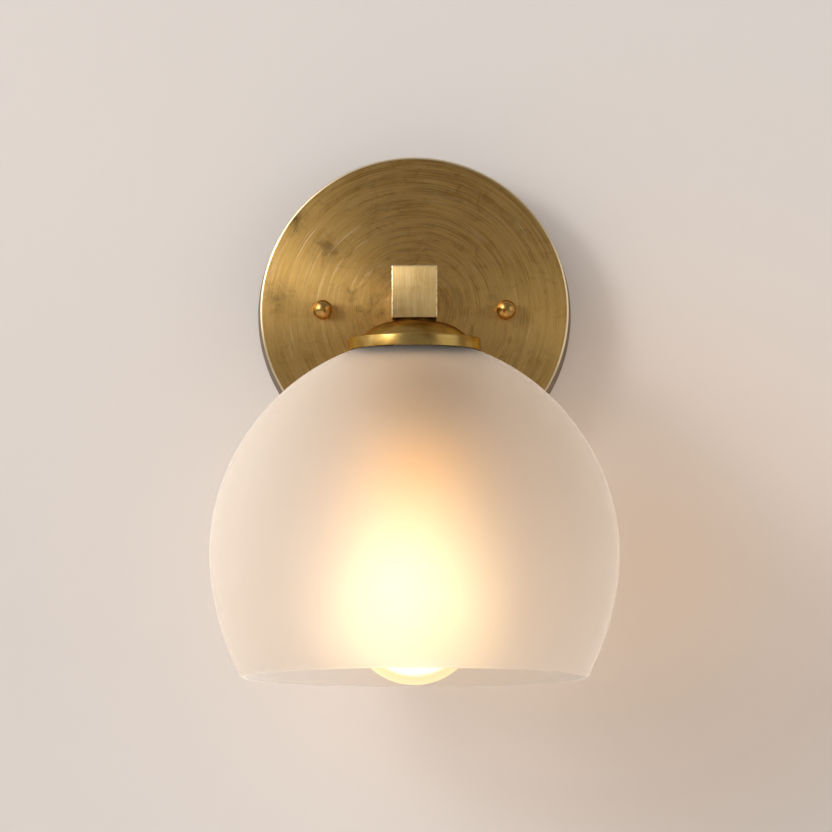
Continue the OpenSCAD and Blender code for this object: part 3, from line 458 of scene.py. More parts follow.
class Finish:
    """A material in the making. Its places are in millimetres from the middle of the piece."""

    def __init__(self, name, middle=(0, 0, 0)):
        self.material = bpy.data.materials.new(name)
        self.material.use_nodes = True
        self.tree = self.material.node_tree
        self.tree.nodes.clear()
        self.output = self.node("OutputMaterial")
        place = self.node("TexCoord").outputs["Object"]
        scaled = {"Vector": place, "Scale": (1 / MM,) * 3, "Location": -Vector(middle)}
        self.place = self.node("Mapping", scaled).outputs[0]
        parts = self.node("SeparateXYZ", {0: self.place})
        self.x, self.y, self.z = parts.outputs

    def node(self, kind, inputs=None, **settings):
        """A node with its settings, and its inputs as numbers or as other nodes' outputs."""
        made = self.tree.nodes.new("ShaderNode" + kind)
        for key, value in settings.items():
            setattr(made, key, value)
        for key, value in (inputs or {}).items():
            if isinstance(value, NodeSocket):
                self.tree.links.new(value, made.inputs[key])
            else:
                made.inputs[key].default_value = value
        return made

    def step(self, operation, a, b=0.0, clamp=False):
        """One step of arithmetic."""
        return self.node("Math", {0: a, 1: b}, operation=operation, use_clamp=clamp).outputs[0]

    def times(self, a, b, clamp=False):
        """The product of two values."""
        return self.step("MULTIPLY", a, b, clamp)

    def plus(self, first, *others, clamp=False):
        """The sum of values. A clamp keeps the whole between 0 and 1."""
        for i, other in enumerate(others, 1):
            first = self.step("ADD", first, other, clamp and i == len(others))
        return first

    def less(self, a, b):
        """The first value without the second."""
        return self.step("SUBTRACT", a, b)

    def vector(self, x, y, z):
        """A vector of three values."""
        return self.node("CombineXYZ", {0: x, 1: y, 2: z}).outputs[0]

    def noise(self, place, scale, detail=3.0, roughness=0.5, distortion=0.0):
        """Cloudy noise from 0 to 1."""
        inputs = {"Vector": place, "Scale": scale, "Detail": detail, "Roughness": roughness}
        inputs["Distortion"] = distortion
        return self.node("TexNoise", inputs).outputs[0]

    def scaled(self, place, x, y, z):
        """A place stretched along its axes."""
        return self.node("Mapping", {"Vector": place, "Scale": (x, y, z)}).outputs[0]

    def span(self, value, low, high, to_low=0.0, to_high=1.0):
        """A value taken from one span to another, smooth at both ends."""
        inputs = {"Value": value, 1: low, 2: high, 3: to_low, 4: to_high}
        made = self.node("MapRange", inputs, interpolation_type="SMOOTHSTEP", clamp=True)
        return made.outputs[0]

    def mixed(self, share, a, b, blend="MIX"):
        """Two colours mixed."""
        made = self.node("Mix", {0: share, 6: a, 7: b}, data_type="RGBA", blend_type=blend)
        return made.outputs[2]

    def bump(self, height, strength, distance, normal=None):
        """A bump whose distance is in millimetres."""
        inputs = {"Height": height, "Strength": strength, "Distance": distance * MM}
        if normal:
            inputs["Normal"] = normal
        return self.node("Bump", inputs).outputs[0]

    def distance(self, a, b):
        """The length of a two-part offset."""
        return self.step("SQRT", self.plus(self.times(a, a), self.times(b, b)))

    def spot(self, a, b, at, radius, soft):
        """1 inside a round spot and 0 outside, with a soft edge."""
        away = self.distance(self.less(a, at[0]), self.less(b, at[1]))
        return self.span(away, radius - soft, radius + soft, 1.0, 0.0)

    def principled(self, **inputs):
        """The surface, with its inputs in plain words."""
        titles = [key.replace("_", " ").title().replace("Ior", "IOR") for key in inputs]
        return self.node("BsdfPrincipled", dict(zip(titles, inputs.values()))).outputs[0]

    def brushed(self, axis, turn=0.25, **inputs):
        """Metal whose grain runs round an axis, or along it where there is no turn."""
        tangent = self.node("Tangent", direction_type="RADIAL", axis=axis).outputs[0]
        return self.principled(metallic=1.0, tangent=tangent, anisotropic_rotation=turn, **inputs)

    def shared(self, share, a, b):
        """Two surfaces mixed."""
        return self.node("MixShader", {0: share, 1: a, 2: b}).outputs[0]

    def done(self, surface):
        """The finished material."""
        self.tree.links.new(surface, self.output.inputs["Surface"])
        return self.material


def round_places(f, axis):
    """The distance from an axis, the height on it, and the cosine and the sine of the turn."""
    along = {"X": f.x, "Y": f.y, "Z": f.z}[axis]
    a, b = [part for name, part in (("X", f.x), ("Y", f.y), ("Z", f.z)) if name != axis]
    away = f.distance(a, b)
    safe = f.step("MAXIMUM", away, 0.05)
    return away, along, f.step("DIVIDE", a, safe), f.step("DIVIDE", b, safe)


def ring_noise(f, travel, turn, across, around, detail, roughness):
    """Noise drawn out round an axis: fine across the rings and long round them."""
    cos, sin = turn
    place = f.vector(f.times(travel, across), f.times(cos, around), f.times(sin, around))
    return f.noise(place, 1.0, detail, roughness)


def turned_metal(name, middle, axis, bright, aged, **how):
    """Metal with fine grain round an axis, as from a lathe, with aged places in broad clouds, and
    with painted shade above a height where one is given.
    """
    f = Finish(name, middle)
    away, along, *turn = round_places(f, axis)
    travel = f.plus(away, f.step("ABSOLUTE", along))
    grain = ring_noise(f, travel, turn, how.get("fine", 2.2), 1.6, 4.0, 0.62)
    wide = f.noise(f.place, how.get("cloud", 0.055), 3.0, 0.6, 0.4)
    age = f.span(wide, *how.get("age", (0.42, 0.72)))
    streaks = f.times(f.span(grain, 0.35, 0.7), 0.25)
    base = f.mixed(f.plus(f.times(age, 0.8), streaks, clamp=True), bright, aged)
    # Painted shade: above the given height the metal is darkened
    if "old_above" in how:
        old = f.span(along, how["old_above"], how["old_above"] + 0.6, 0.0, 0.45)
        base = f.mixed(old, base, chosen("patina_and_shade"))
    surface = f.brushed(
        axis,
        base_color=base,
        roughness=f.span(grain, 0.3, 0.7, *how.get("rough", (0.26, 0.4))),
        anisotropic=how.get("anisotropic", 0.6),
        specular_tint=how.get("grazing", WHITE),
        coat_weight=how.get("coat", 0.6),
        coat_roughness=0.22,
        normal=f.bump(grain, how.get("bump", 0.12), 0.05),
    )
    return f.done(surface)


# Turned metals of fixed colours: the bright one, the aged one and how the metal looks
METALS = {
    "base_shell": (
        (0.72, 0.71, 0.68),
        (0.48, 0.46, 0.42),
        {"rough": (0.2, 0.32), "anisotropic": 0.3, "cloud": 0.12},
    ),
    "tip_solder": (
        (0.62, 0.62, 0.60),
        (0.42, 0.42, 0.41),
        {"rough": (0.3, 0.5), "anisotropic": 0.1, "cloud": 0.4},
    ),
    "contact_brass": (
        (0.70, 0.53, 0.24),
        (0.5, 0.34, 0.13),
        {"rough": (0.25, 0.36), "anisotropic": 0.3, "cloud": 0.15},
    ),
    "green_screw": (
        (0.05, 0.30, 0.10),
        (0.03, 0.18, 0.06),
        {"rough": (0.25, 0.4), "anisotropic": 0.2, "cloud": 0.3},
    ),
    "black_screw": (
        (0.05, 0.05, 0.052),
        (0.02, 0.02, 0.02),
        {"rough": (0.3, 0.45), "anisotropic": 0.1, "cloud": 0.5},
    ),
}


def fixed_metal(name, middle, axis):
    """One of the turned metals in the table."""
    bright, aged, how = METALS[name]
    return turned_metal(name, middle, axis, (*bright, 1.0), (*aged, 1.0), **how)


# Dark marks on the canopy's face: where, the radius, how soft the edge is, and how dark. Most are
# tarnish smudges; the mark beside the block's left side and the one by the right knob are painted
# shadow, and the wide soft one at the lower right is painted shade below the arm
DARK_MARKS = (
    ((-46, 35), 2, 6, 1.1),
    ((-34, 24), 3, 7, 0.7),
    ((-25, 4), 2, 7, 0.5),
    ((-14, 3), 3, 7, 0.6),
    ((-52, 5), 2, 7, 0.8),
    ((31, 5), 2, 8, 0.4),
    ((20, -30), 10, 14, 0.4),
)


def canopy_brass():
    """The canopy's brass, brushed in rings, with smudges, painted shadows, painted shade towards the
    top, a side wall painted dark as shade, and a worn edge.
    """
    f = Finish("brass_canopy")
    away, along, *turn = round_places(f, "Y")
    grain = ring_noise(f, away, turn, 2.6, 2.0, 4.0, 0.6)
    coarse = ring_noise(f, away, turn, 0.7, 1.3, 3.0, 0.55)
    cloud = f.noise(f.place, 0.034, 4.0, 0.62, 0.6)
    mottle = f.noise(f.place, 0.16, 4.0, 0.6, 1.2)
    age = f.plus(f.times(f.span(cloud, 0.4, 0.7), 0.4), f.times(f.span(mottle, 0.5, 0.75), 0.25))
    dark = f.span(mottle, 0.55, 0.8, 0.0, 0.35)
    # Each mark darkens the face, the tarnish smudges and the painted shadows alike
    for at, radius, soft, share in DARK_MARKS:
        dark_mark = f.times(f.spot(f.x, f.z, at, radius, soft), f.span(mottle, 0.35, 0.6, 0.3, 1.6))
        dark = f.plus(dark, f.times(dark_mark, share))
    # Painted shade: the face is darkened towards its top
    high = f.times(f.span(f.z, 15, 60), 0.35)
    streaks = f.span(coarse, 0.36, 0.64, -0.2, 0.26)
    fine = f.span(grain, 0.38, 0.62, -0.42, 0.5)
    # The darkening holds aged clouds, the painted shade at the top and the grain
    age = f.plus(age, high, streaks, fine, clamp=True)
    base = f.mixed(age, chosen("brass"), chosen("brass_aged"))
    base = f.mixed(f.span(grain, 0.56, 0.7, 0.0, 0.5), base, chosen("brass_worn"))
    dark = f.times(dark, f.span(grain, 0.3, 0.7, 0.7, 1.0), clamp=True)
    base = f.mixed(dark, base, chosen("patina_and_shade"))
    edge_r = CANOPY_R - in_mm("canopy_flare") - in_mm("canopy_edge")
    worn = f.times(f.span(away, edge_r, edge_r + 0.4), f.span(along, -19.0, -19.6))
    # Painted shade: the side wall behind the face's edge is darkened
    side_wall_shade = f.span(along, -18.9, -18.4)
    base = f.mixed(side_wall_shade, base, chosen("patina_and_shade"))
    base = f.mixed(worn, base, chosen("brass_worn"))
    rough = f.plus(f.span(grain, 0.3, 0.7, 0.28, 0.42), f.times(age, 0.08))
    height = f.plus(f.times(grain, 0.7), f.times(coarse, 0.35))
    surface = f.brushed(
        "Y",
        base_color=base,
        roughness=rough,
        anisotropic=0.8,
        coat_weight=f.span(worn, 0, 1, 0.35, 1.0),
        coat_roughness=0.3,
        normal=f.bump(height, 0.3, 0.07),
    )
    return f.done(surface)


def worn_brass():
    """Brass rubbed bright along the edges of the block and the arm."""
    f = Finish("brass_edges")
    rub = f.noise(f.place, 0.9, 3.0, 0.6)
    base = f.mixed(f.span(rub, 0.4, 0.7), chosen("brass_worn"), chosen("brass"))
    surface = f.principled(
        base_color=base,
        metallic=1.0,
        roughness=f.span(rub, 0.3, 0.7, 0.28, 0.4),
        normal=f.bump(rub, 0.1, 0.04),
    )
    return f.done(surface)


def mark_edges(bm, low, high, edge):
    """Gives the rounded edges of a box the second material."""
    low, high = Vector(low), Vector(high)
    for face in bm.faces:
        at = face.calc_center_median() / MM
        near = sum(min(at[i] - low[i], high[i] - at[i]) < edge * 0.98 for i in range(3))
        slanted = max(abs(part) for part in face.normal) < 0.998
        face.material_index = 1 if near > 1 and slanted else 0
    return bm


def straight_brass(name, middle, axis, fine):
    """Brass of the block and the arm, brushed lengthwise."""
    f = Finish(name, middle)
    stretch = {"Y": (fine, 0.05, fine), "Z": (fine, fine, 0.06)}[axis]
    grain = f.noise(f.scaled(f.place, *stretch), 1.0, 5.0, 0.68)
    broad = f.noise(f.scaled(f.place, 0.5, 0.5, 0.05), 1.0, 3.0, 0.6)
    cloud = f.noise(f.place, 0.12, 3.0, 0.6, 0.8)
    age = f.plus(
        f.times(f.span(grain, 0.36, 0.7), 0.32),
        f.times(f.span(broad, 0.4, 0.7), 0.2),
        f.times(f.span(cloud, 0.45, 0.75), 0.3),
        # Darker towards the bottom of the block
        f.span(f.z, -10, 8, 0.06, 0.0),
        clamp=True,
    )
    base = f.mixed(age, chosen("brass_block"), chosen("brass_aged"))
    base = f.mixed(f.span(grain, 0.55, 0.7, 0.0, 0.6), base, chosen("brass_worn"))
    surface = f.brushed(
        "Z",
        0.0 if axis == "Z" else 0.25,
        base_color=base,
        roughness=f.span(grain, 0.3, 0.7, 0.42, 0.54),
        anisotropic=0.85,
        coat_weight=0.35,
        coat_roughness=0.3,
        normal=f.bump(grain, 0.14, 0.05),
    )
    return f.done(surface)


def plastic(name, colour_name, middle, rough, fine=0.8):
    """Moulded plastic with a faint grain and dull places."""
    f = Finish(name, middle)
    grain = f.noise(f.place, fine, 4.0, 0.6)
    cloud = f.noise(f.place, 0.1, 2.0, 0.5)
    tint = chosen(colour_name)
    base = f.mixed(f.times(f.span(cloud, 0.35, 0.7), 0.5), tint, shaded(tint, 1.5, 0.01))
    surface = f.principled(
        base_color=base,
        roughness=f.span(grain, 0.3, 0.7, rough - 0.06, rough + 0.08),
        normal=f.bump(grain, 0.12, 0.04),
    )
    return f.done(surface)


def lead_plastic(name, tint, middle):
    """A lead's smooth insulation, with a slight wave and wear."""
    f = Finish(name, middle)
    wave = f.noise(f.place, 0.35, 3.0, 0.5)
    surface = f.principled(
        base_color=f.mixed(f.span(wave, 0.35, 0.7), (*tint, 1.0), shaded(tint, 0.72)),
        roughness=f.span(wave, 0.3, 0.7, 0.34, 0.46),
        normal=f.bump(wave, 0.1, 0.1),
    )
    return f.done(surface)


def zinc_finish():
    """Zinc plate: cool, mottled, with drawing lines along the strap."""
    f = Finish("zinc_plate")
    flakes = f.noise(f.place, 0.7, 3.0, 0.6)
    lines = f.noise(f.scaled(f.place, 0.06, 3, 3), 1.0, 3.0, 0.6)
    surface = f.principled(
        base_color=f.mixed(f.span(flakes, 0.35, 0.7), chosen("zinc"), STEEL_WORN),
        metallic=1.0,
        roughness=f.span(lines, 0.3, 0.7, 0.28, 0.45),
        normal=f.bump(lines, 0.1, 0.04),
    )
    return f.done(surface)


# How much of the light the etched surface scatters, seen from outside and from inside
SCATTER_OUTSIDE, SCATTER_INSIDE = 0.08, 0.7


def frosted_outside():
    """The shade's etched outside.

    From outside it is rough glass, so that shapes inside show as soft shadows. From inside, as seen
    through the mouth, it lets light through and scatters it, but refracts none: a ray that left at
    a slant would be thrown back and leave odd bright shapes.
    """
    f = Finish("shade_glass_outside", centre("shade_glass"))
    bloom = f.times(f.span(f.noise(f.place, 0.045, 3.0, 0.55), 0.35, 0.7), 0.35)
    etch = f.noise(f.place, 2.5, 3.0, 0.6)
    base = f.mixed(bloom, chosen("glass"), (0.98, 0.95, 0.92, 1.0))
    etched = f.principled(
        base_color=base,
        roughness=f.span(etch, 0.3, 0.7, 0.8, 0.88),
        ior=1.45,
        specular_tint=(1.0, 0.88, 0.74, 1.0),
        transmission_weight=0.97,
        normal=f.bump(etch, 0.05, 0.03),
    )
    through = f.node("BsdfTranslucent", {"Color": chosen("glass_depth")}).outputs[0]
    clear = f.node("BsdfTransparent", {"Color": (0.97, 0.96, 0.945, 1.0)}).outputs[0]
    front = f.shared(SCATTER_OUTSIDE, etched, through)
    back = f.shared(SCATTER_INSIDE, clear, through)
    return f.done(f.shared(f.node("NewGeometry").outputs["Backfacing"], front, back))


def frosted_inside():
    """The shade's inside, which lets light through and has a dull sheen at a slant."""
    f = Finish("shade_glass_inside", SHADE_AXIS)
    haze = f.noise(f.place, 0.06, 3.0, 0.5)
    tint = f.mixed(f.span(haze, 0.35, 0.7), (0.995, 0.99, 0.985, 1.0), (0.98, 0.97, 0.96, 1.0))
    clear = f.node("BsdfTransparent", {"Color": tint}).outputs[0]
    sheen = f.node("BsdfGlossy", {"Color": (1.0, 0.92, 0.82, 1.0), "Roughness": 0.6}).outputs[0]
    slant = f.node("LayerWeight", {"Blend": 0.2}).outputs["Fresnel"]
    return f.done(f.shared(f.times(slant, 0.3), clear, sheen))


def glowing_glass():
    """The bulb's coated glass, lit from inside, with a clear rim where the glass turns away."""
    f = Finish("bulb_glass_lit", SHADE_AXIS)
    neck_top = -66
    neck = f.span(f.z, BULB_BOTTOM + 44, neck_top)
    tip = f.span(f.z, BULB_BOTTOM + 9, BULB_BOTTOM + 7.5)
    low = f.span(f.z, BULB_BOTTOM + 30, BULB_BOTTOM + 12)
    cloudy = f.span(f.noise(f.place, 0.05, 2.0, 0.5), 0.4, 0.7)
    light = f.mixed(tip, chosen("bulb_core"), chosen("bulb_tip"))
    light = f.mixed(neck, light, chosen("bulb_neck"))
    drop = f.plus(f.times(neck, 0.5), f.times(f.less(low, tip), 0.35))
    power = f.less(f.less(1.0, drop), f.times(cloudy, 0.06))
    coat, neck_coat = (0.9, 0.84, 0.74, 1.0), (0.68, 0.32, 0.07, 1.0)
    core = f.principled(
        base_color=f.mixed(neck, coat, neck_coat),
        roughness=0.35,
        emission_color=light,
        emission_strength=f.times(power, bpy.context.scene.sconce_stage.glow),
    )
    rim = f.principled(
        base_color=chosen("bulb_rim"),
        roughness=0.25,
        emission_color=chosen("bulb_rim"),
        emission_strength=0.72,
    )
    turned = f.span(f.node("LayerWeight", {"Blend": 0.5}).outputs["Facing"], 0.36, 0.56)
    return f.done(f.shared(turned, core, rim))


def stem_glass():
    """Clear glass of the bulb's foot, with faint draw lines."""
    f = Finish("stem_glass", SHADE_AXIS)
    lines = f.noise(f.scaled(f.place, 1, 1, 0.1), 1.0, 2.0, 0.5)
    clear, drawn = (0.95, 0.98, 0.97, 1.0), (0.88, 0.94, 0.93, 1.0)
    surface = f.principled(
        base_color=f.mixed(f.span(lines, 0.3, 0.7), clear, drawn),
        roughness=0.06,
        ior=1.5,
        transmission_weight=0.9,
        normal=f.bump(lines, 0.1, 0.05),
    )
    return f.done(surface)


def light_stick():
    """The light sticks' yellow coat, glowing."""
    f = Finish("light_sticks", SHADE_AXIS)
    beads = f.step("SINE", f.times(f.z, 5.0))
    surface = f.principled(
        base_color=(1.0, 0.72, 0.2, 1.0),
        roughness=0.5,
        emission_color=(1.0, 0.82, 0.45, 1.0),
        emission_strength=f.span(beads, -1, 1, 2.0, 3.2),
    )
    return f.done(surface)


def nylon():
    """The knob washers' soft, slightly uneven plastic."""
    f = Finish("nylon_washers")
    grain = f.span(f.noise(f.place, 1.2, 3.0, 0.6), 0.3, 0.7)
    base = f.mixed(grain, (0.8, 0.77, 0.68, 1.0), (0.7, 0.67, 0.58, 1.0))
    return f.done(f.principled(base_color=base, roughness=0.5))


# The warm light painted on the wall beside the shade, in millimetres from the origin, and the
# brightness of the lift
GLOW_AT, GLOW_RADIUS, GLOW_SOFT, GLOW_SHARE = (95, -95), 25, 190, 1.6
LIFT = 0.215


def backdrop_paint(name, tone):
    """Plain paint with a lift for the camera, a painted warm glow beside the shade, and clear from
    behind.
    """
    f = Finish(name)
    cloud = f.span(f.noise(f.place, 0.0016, 2.0, 0.5), 0.3, 0.7)
    tint = chosen("wall")
    paint = f.principled(
        base_color=f.mixed(cloud, tint, shaded(tint, 0.975 * tone)),
        roughness=0.9,
        specular_ior_level=0.1,
    )
    rays = f.node("LightPath").outputs
    seen = f.step("MAXIMUM", rays["Is Camera Ray"], rays["Is Glossy Ray"])
    seen = f.step("MAXIMUM", seen, rays["Is Transmission Ray"])
    # Painted light: a warm glow in a soft spot on the wall beside the shade
    glow = f.times(f.spot(f.x, f.z, GLOW_AT, GLOW_RADIUS, GLOW_SOFT), GLOW_SHARE, clamp=True)
    lift = {"Color": f.mixed(glow, tint, chosen("wall_glow")), "Strength": f.times(seen, LIFT)}
    lift = f.node("Emission", lift).outputs[0]
    front = f.node("AddShader", {0: paint, 1: lift}).outputs[0]
    clear = f.node("BsdfTransparent").outputs[0]
    return f.done(f.shared(f.node("NewGeometry").outputs["Backfacing"], front, clear))


# --- Operators: one for each piece or group of like pieces ---


class Step:
    """What the operators share. A piece that can't be made raises an error."""

    bl_options = {"REGISTER", "UNDO"}


class SCONCE_OT_canopy(Step, Operator):
    """Makes the spun canopy with its rounded edge and its three holes."""

    bl_idname = "sconce.canopy"
    bl_label = "Canopy"

    def execute(self, context):
        wall, edge = in_mm("canopy_wall"), in_mm("canopy_edge")
        face_r = CANOPY_R - in_mm("canopy_flare")
        inner = CANOPY_DEPTH - wall
        hole = corners("canopy_nipple")[1].x + CLEAR
        shell = outline(
            (hole, CANOPY_DEPTH),
            (face_r, CANOPY_DEPTH, edge),
            (CANOPY_R, 0.45, 0.2),
            (CANOPY_R, 0, 0.2),
            (CANOPY_R - wall, 0, 0.15),
            (face_r - wall, inner, 0.5),
            (hole, inner),
        )
        bm = lathe(shell, context.scene.sconce_sizes.segments)
        studs = corners("mounting_studs")[1]
        bores = []
        for side in (-1, 1):
            bore = rod(studs.z + 2 * CLEAR, inner - CUT, CANOPY_DEPTH + CUT)
            bores.append(shifted(bore, side * (studs.x - studs.z)))
        bm = placed(worked(bm, bores), OUT_OF_WALL)
        piece(bm, "canopy", ROOT, "aged_brass", canopy_brass())
        return {"FINISHED"}


class SCONCE_OT_knobs(Step, Operator):
    """Makes the two ball-shaped cap nuts on the canopy's face."""

    bl_idname = "sconce.knobs"
    bl_label = "Knobs"

    def execute(self, context):
        for side in ("left", "right"):
            node = f"knob_{side}"
            low, high = corners(node)
            top = high.y - low.y
            ball, foot, neck, bore = in_mm("knob_ball"), 3.4, 2.95, 2.13
            seat, recess, crown = 2.9, 0.65, 1.6
            middle = top - ball
            start = -math.degrees(math.acos(neck / ball))
            points = [
                (bore, recess),
                (seat, recess),
                (seat, 0, 0.1),
                (foot, 0, 0.15),
                (foot, 1.3, 0.35),
                (neck, 1.4, 0.1),
                *arc((0, middle), ball, start, 90, 26),
                (0, top - crown),
                (bore, top - crown),
            ]
            bm = lathe(outline(*points, closed=False), 72)
            at = centre(node)
            bm = shifted(placed(bm, OUT_OF_WALL), at.x, -CANOPY_DEPTH, at.z)
            metal = turned_metal(
                f"brass_knob_{side}",
                (at.x, -CANOPY_DEPTH - middle, at.z),
                "Y",
                chosen("brass_knob"),
                chosen("brass_aged"),
                rough=(0.22, 0.3),
                anisotropic=0.5,
                grazing=(0.7, 0.45, 0.18, 1.0),
                coat=0.25,
                cloud=0.22,
                bump=0.05,
                age=(0.5, 0.8),
            )
            piece(bm, node, f"{side}_knob", "knob_brass", metal)
        return {"FINISHED"}


class SCONCE_OT_arm(Step, Operator):
    """Makes the square arm and the block at its front, with rounded edges and bores."""

    bl_idname = "sconce.arm"
    bl_label = "Arm and block"

    def execute(self, context):
        edge, wall = in_mm("block_edge"), in_mm("arm_wall")
        low, high = corners("arm_tube")
        room = Vector((wall, -CUT, wall))
        screw_y = centre("arm_set_screw").y
        screw_low, screw_high = corners("arm_set_screw")
        screw_r = (screw_high.x - screw_low.x) / 2 + FIT
        screw_hole = shifted(rod(screw_r, low.z - CUT, 0), y=screw_y)
        bm = worked(cuboid(low, high, edge), [cuboid(low + room, high - room), screw_hole])
        bm = mark_edges(bm, low, high, edge)
        metal, rubbed = straight_brass("brass_arm", centre("arm_tube"), "Y", 1.4), worn_brass()
        piece(bm, "arm_tube", ROOT, "aged_brass", metal, rubbed)

        low, high = corners("elbow_block")
        plug_low, plug_high = corners("arm_plug")
        back = corners("arm_tube")[0].y
        head = cuboid((low.x, low.y, low.z), (high.x, back, high.z), edge)
        spigot = cuboid((plug_low.x, back - 2, plug_low.z), (plug_high.x, high.y, plug_high.z))
        bore_r, tap_top = 3.5, -4.5
        across = placed(rod(bore_r, -high.y - CUT, REACH), OUT_OF_WALL)
        down = shifted(rod(bore_r, low.z - CUT, 0), y=-REACH)
        tap = shifted(rod(TUBE_R + FIT, low.z - CUT, tap_top), y=-REACH)
        screw_hole = shifted(rod(screw_r, low.z, 0), y=screw_y)
        bm = worked(worked(head, [spigot], "UNION"), [across, down, tap, screw_hole])
        bm = mark_edges(bm, low, (high.x, back, high.z), edge)
        middle = Vector((0, -REACH, (low.z + high.z) / 2))
        metal = straight_brass("brass_block", middle, "Z", 1.9)
        piece(bm, "elbow_block", ROOT, "block_brass", metal, rubbed)
        return {"FINISHED"}


class SCONCE_OT_cap(Step, Operator):
    """Makes the domed cap with its straight ring."""

    bl_idname = "sconce.cap"
    bl_label = "Cap"

    def execute(self, context):
        low, high = corners("shade_cap")
        wall, edge = in_mm("cap_wall"), in_mm("cap_edge")
        top, ring_r, flat_r, dome_r, rise = high.z, high.x, 7.4, 20.3, 6.3
        ledge = top - rise
        run = dome_r - flat_r
        dome = (run * run + rise * rise) / (2 * rise)
        angle = math.degrees(math.asin(run / dome))
        middle = (flat_r, top - dome)
        hole = TUBE_R + CLEAR
        points = [
            (hole, top),
            *arc(middle, dome, 90, 90 - angle, 28),
            (ring_r, ledge, edge),
            (ring_r, low.z, 0.25),
            (ring_r - 0.75, low.z, 0.15),
            (ring_r - wall, low.z + wall - 0.4),
            (ring_r - wall, ledge - wall, 0.3),
            *arc(middle, dome - wall, 90 - angle, 90, 20),
            (hole, top - wall),
        ]
        bm = placed(lathe(outline(*points), context.scene.sconce_sizes.segments), ON_AXIS)
        metal = turned_metal(
            "brass_cap",
            on_axis(ledge),
            "Z",
            chosen("brass_cap"),
            chosen("brass_cap_aged_and_shaded"),
            rough=(0.27, 0.37),
            anisotropic=0.45,
            cloud=0.07,
            coat=0.1,
            # Painted shade: the dome above the ledge is darkened
            old_above=0.2,
            grazing=(0.62, 0.4, 0.14, 1.0),
            age=(0.42, 0.62),
        )
        piece(bm, "shade_cap", ROOT, "cap_brass", metal, sharp=30)
        return {"FINISHED"}


def glass_side(radius, upper, lower, start, depth, upper_n, lower_n, widest):
    """Points down one side of the shade's glass, from a radius at the top to a depth."""

    def at(turn, height, n):
        return radius * math.cos(turn) ** (2 / n), widest + height * math.sin(turn) ** (2 / n)

    above, below = 60, 32
    first = math.acos((start / radius) ** (upper_n / 2))
    last = math.asin((depth / lower) ** (lower_n / 2))
    points = [at(first * (1 - i / above), upper, upper_n) for i in range(above + 1)]
    return points + [at(last * i / below, -lower, lower_n) for i in range(1, below + 1)]


class SCONCE_OT_shade(Step, Operator):
    """Makes the frosted glass shade with its rounded rim at the mouth."""

    bl_idname = "sconce.shade"
    bl_label = "Glass shade"

    def execute(self, context):
        given = context.scene.sconce_sizes
        low, high = corners("shade_glass")
        wall, rim = in_mm("glass_wall"), in_mm("glass_rim")
        upper, lower = in_mm("glass_upper"), in_mm("glass_lower")
        widest = low.z + in_mm("glass_below")
        depth = in_mm("glass_below") - rim
        hole, seat = 21.0, 23.0
        shape = (depth, given.glass_upper_n, given.glass_lower_n, widest)
        outer = glass_side(high.x, upper, lower, seat, *shape)
        inner = glass_side(high.x - wall, upper - wall, lower - wall, hole, *shape)
        mouth = ((outer[-1][0] + inner[-1][0]) / 2, widest - depth)
        half = (outer[-1][0] - inner[-1][0]) / 2
        turns = [math.pi * i / 12 for i in range(1, 12)]
        edge = [(mouth[0] + half * math.cos(a), mouth[1] - rim * math.sin(a)) for a in turns]
        bm = lathe(outline(*outer, *edge, *reversed(inner)), given.segments)
        for face in bm.faces:
            outwards = face.calc_center_median() / MM - Vector((0, 0, widest))
            face.material_index = 1 if face.normal.dot(outwards) < 0 else 0
        bm = placed(bm, ON_AXIS)
        piece(bm, "shade_glass", "shade", "frosted_glass", frosted_outside(), frosted_inside())
        return {"FINISHED"}


class SCONCE_OT_bulb(Step, Operator):
    """Makes the bulb's glowing glass and finishes the pieces inside it."""

    bl_idname = "sconce.bulb"
    bl_label = "Bulb"

    def execute(self, context):
        low, high = corners("bulb_glass")
        wall, ball, neck_r, lean = in_mm("bulb_wall"), high.x, 12.9, 25.0
        ball_z = low.z + ball
        join_r = ball * math.cos(math.radians(lean))
        join_z = ball_z + ball * math.sin(math.radians(lean))
        neck_end = high.z - 3.6
        cone = neck_end - join_z

        def side(inset):
            points = [(neck_r - inset, high.z)]
            for i in range(31):
                s = i / 30
                radius = (
                    neck_r * (2 * s**3 - 3 * s**2 + 1)
                    + join_r * (3 * s**2 - 2 * s**3)
                    + cone * math.tan(math.radians(lean)) * (s**3 - s**2)
                )
                points.append((radius - inset, neck_end - cone * s))
            around = arc((0, ball_z), ball - inset, lean, -90, 40)[1:-1]
            return [*points, *around, (0, low.z + inset)]

        shell = outline(*side(0), *reversed(side(wall)), closed=False)
        bm = placed(lathe(shell, 128), ON_AXIS)
        piece(bm, "bulb_glass", "bulb", "bulb_glass", glowing_glass())
        finish_nodes(stem_glass(), "bulb_stem")
        finish_nodes(light_stick(), "bulb_filaments")
        return {"FINISHED"}


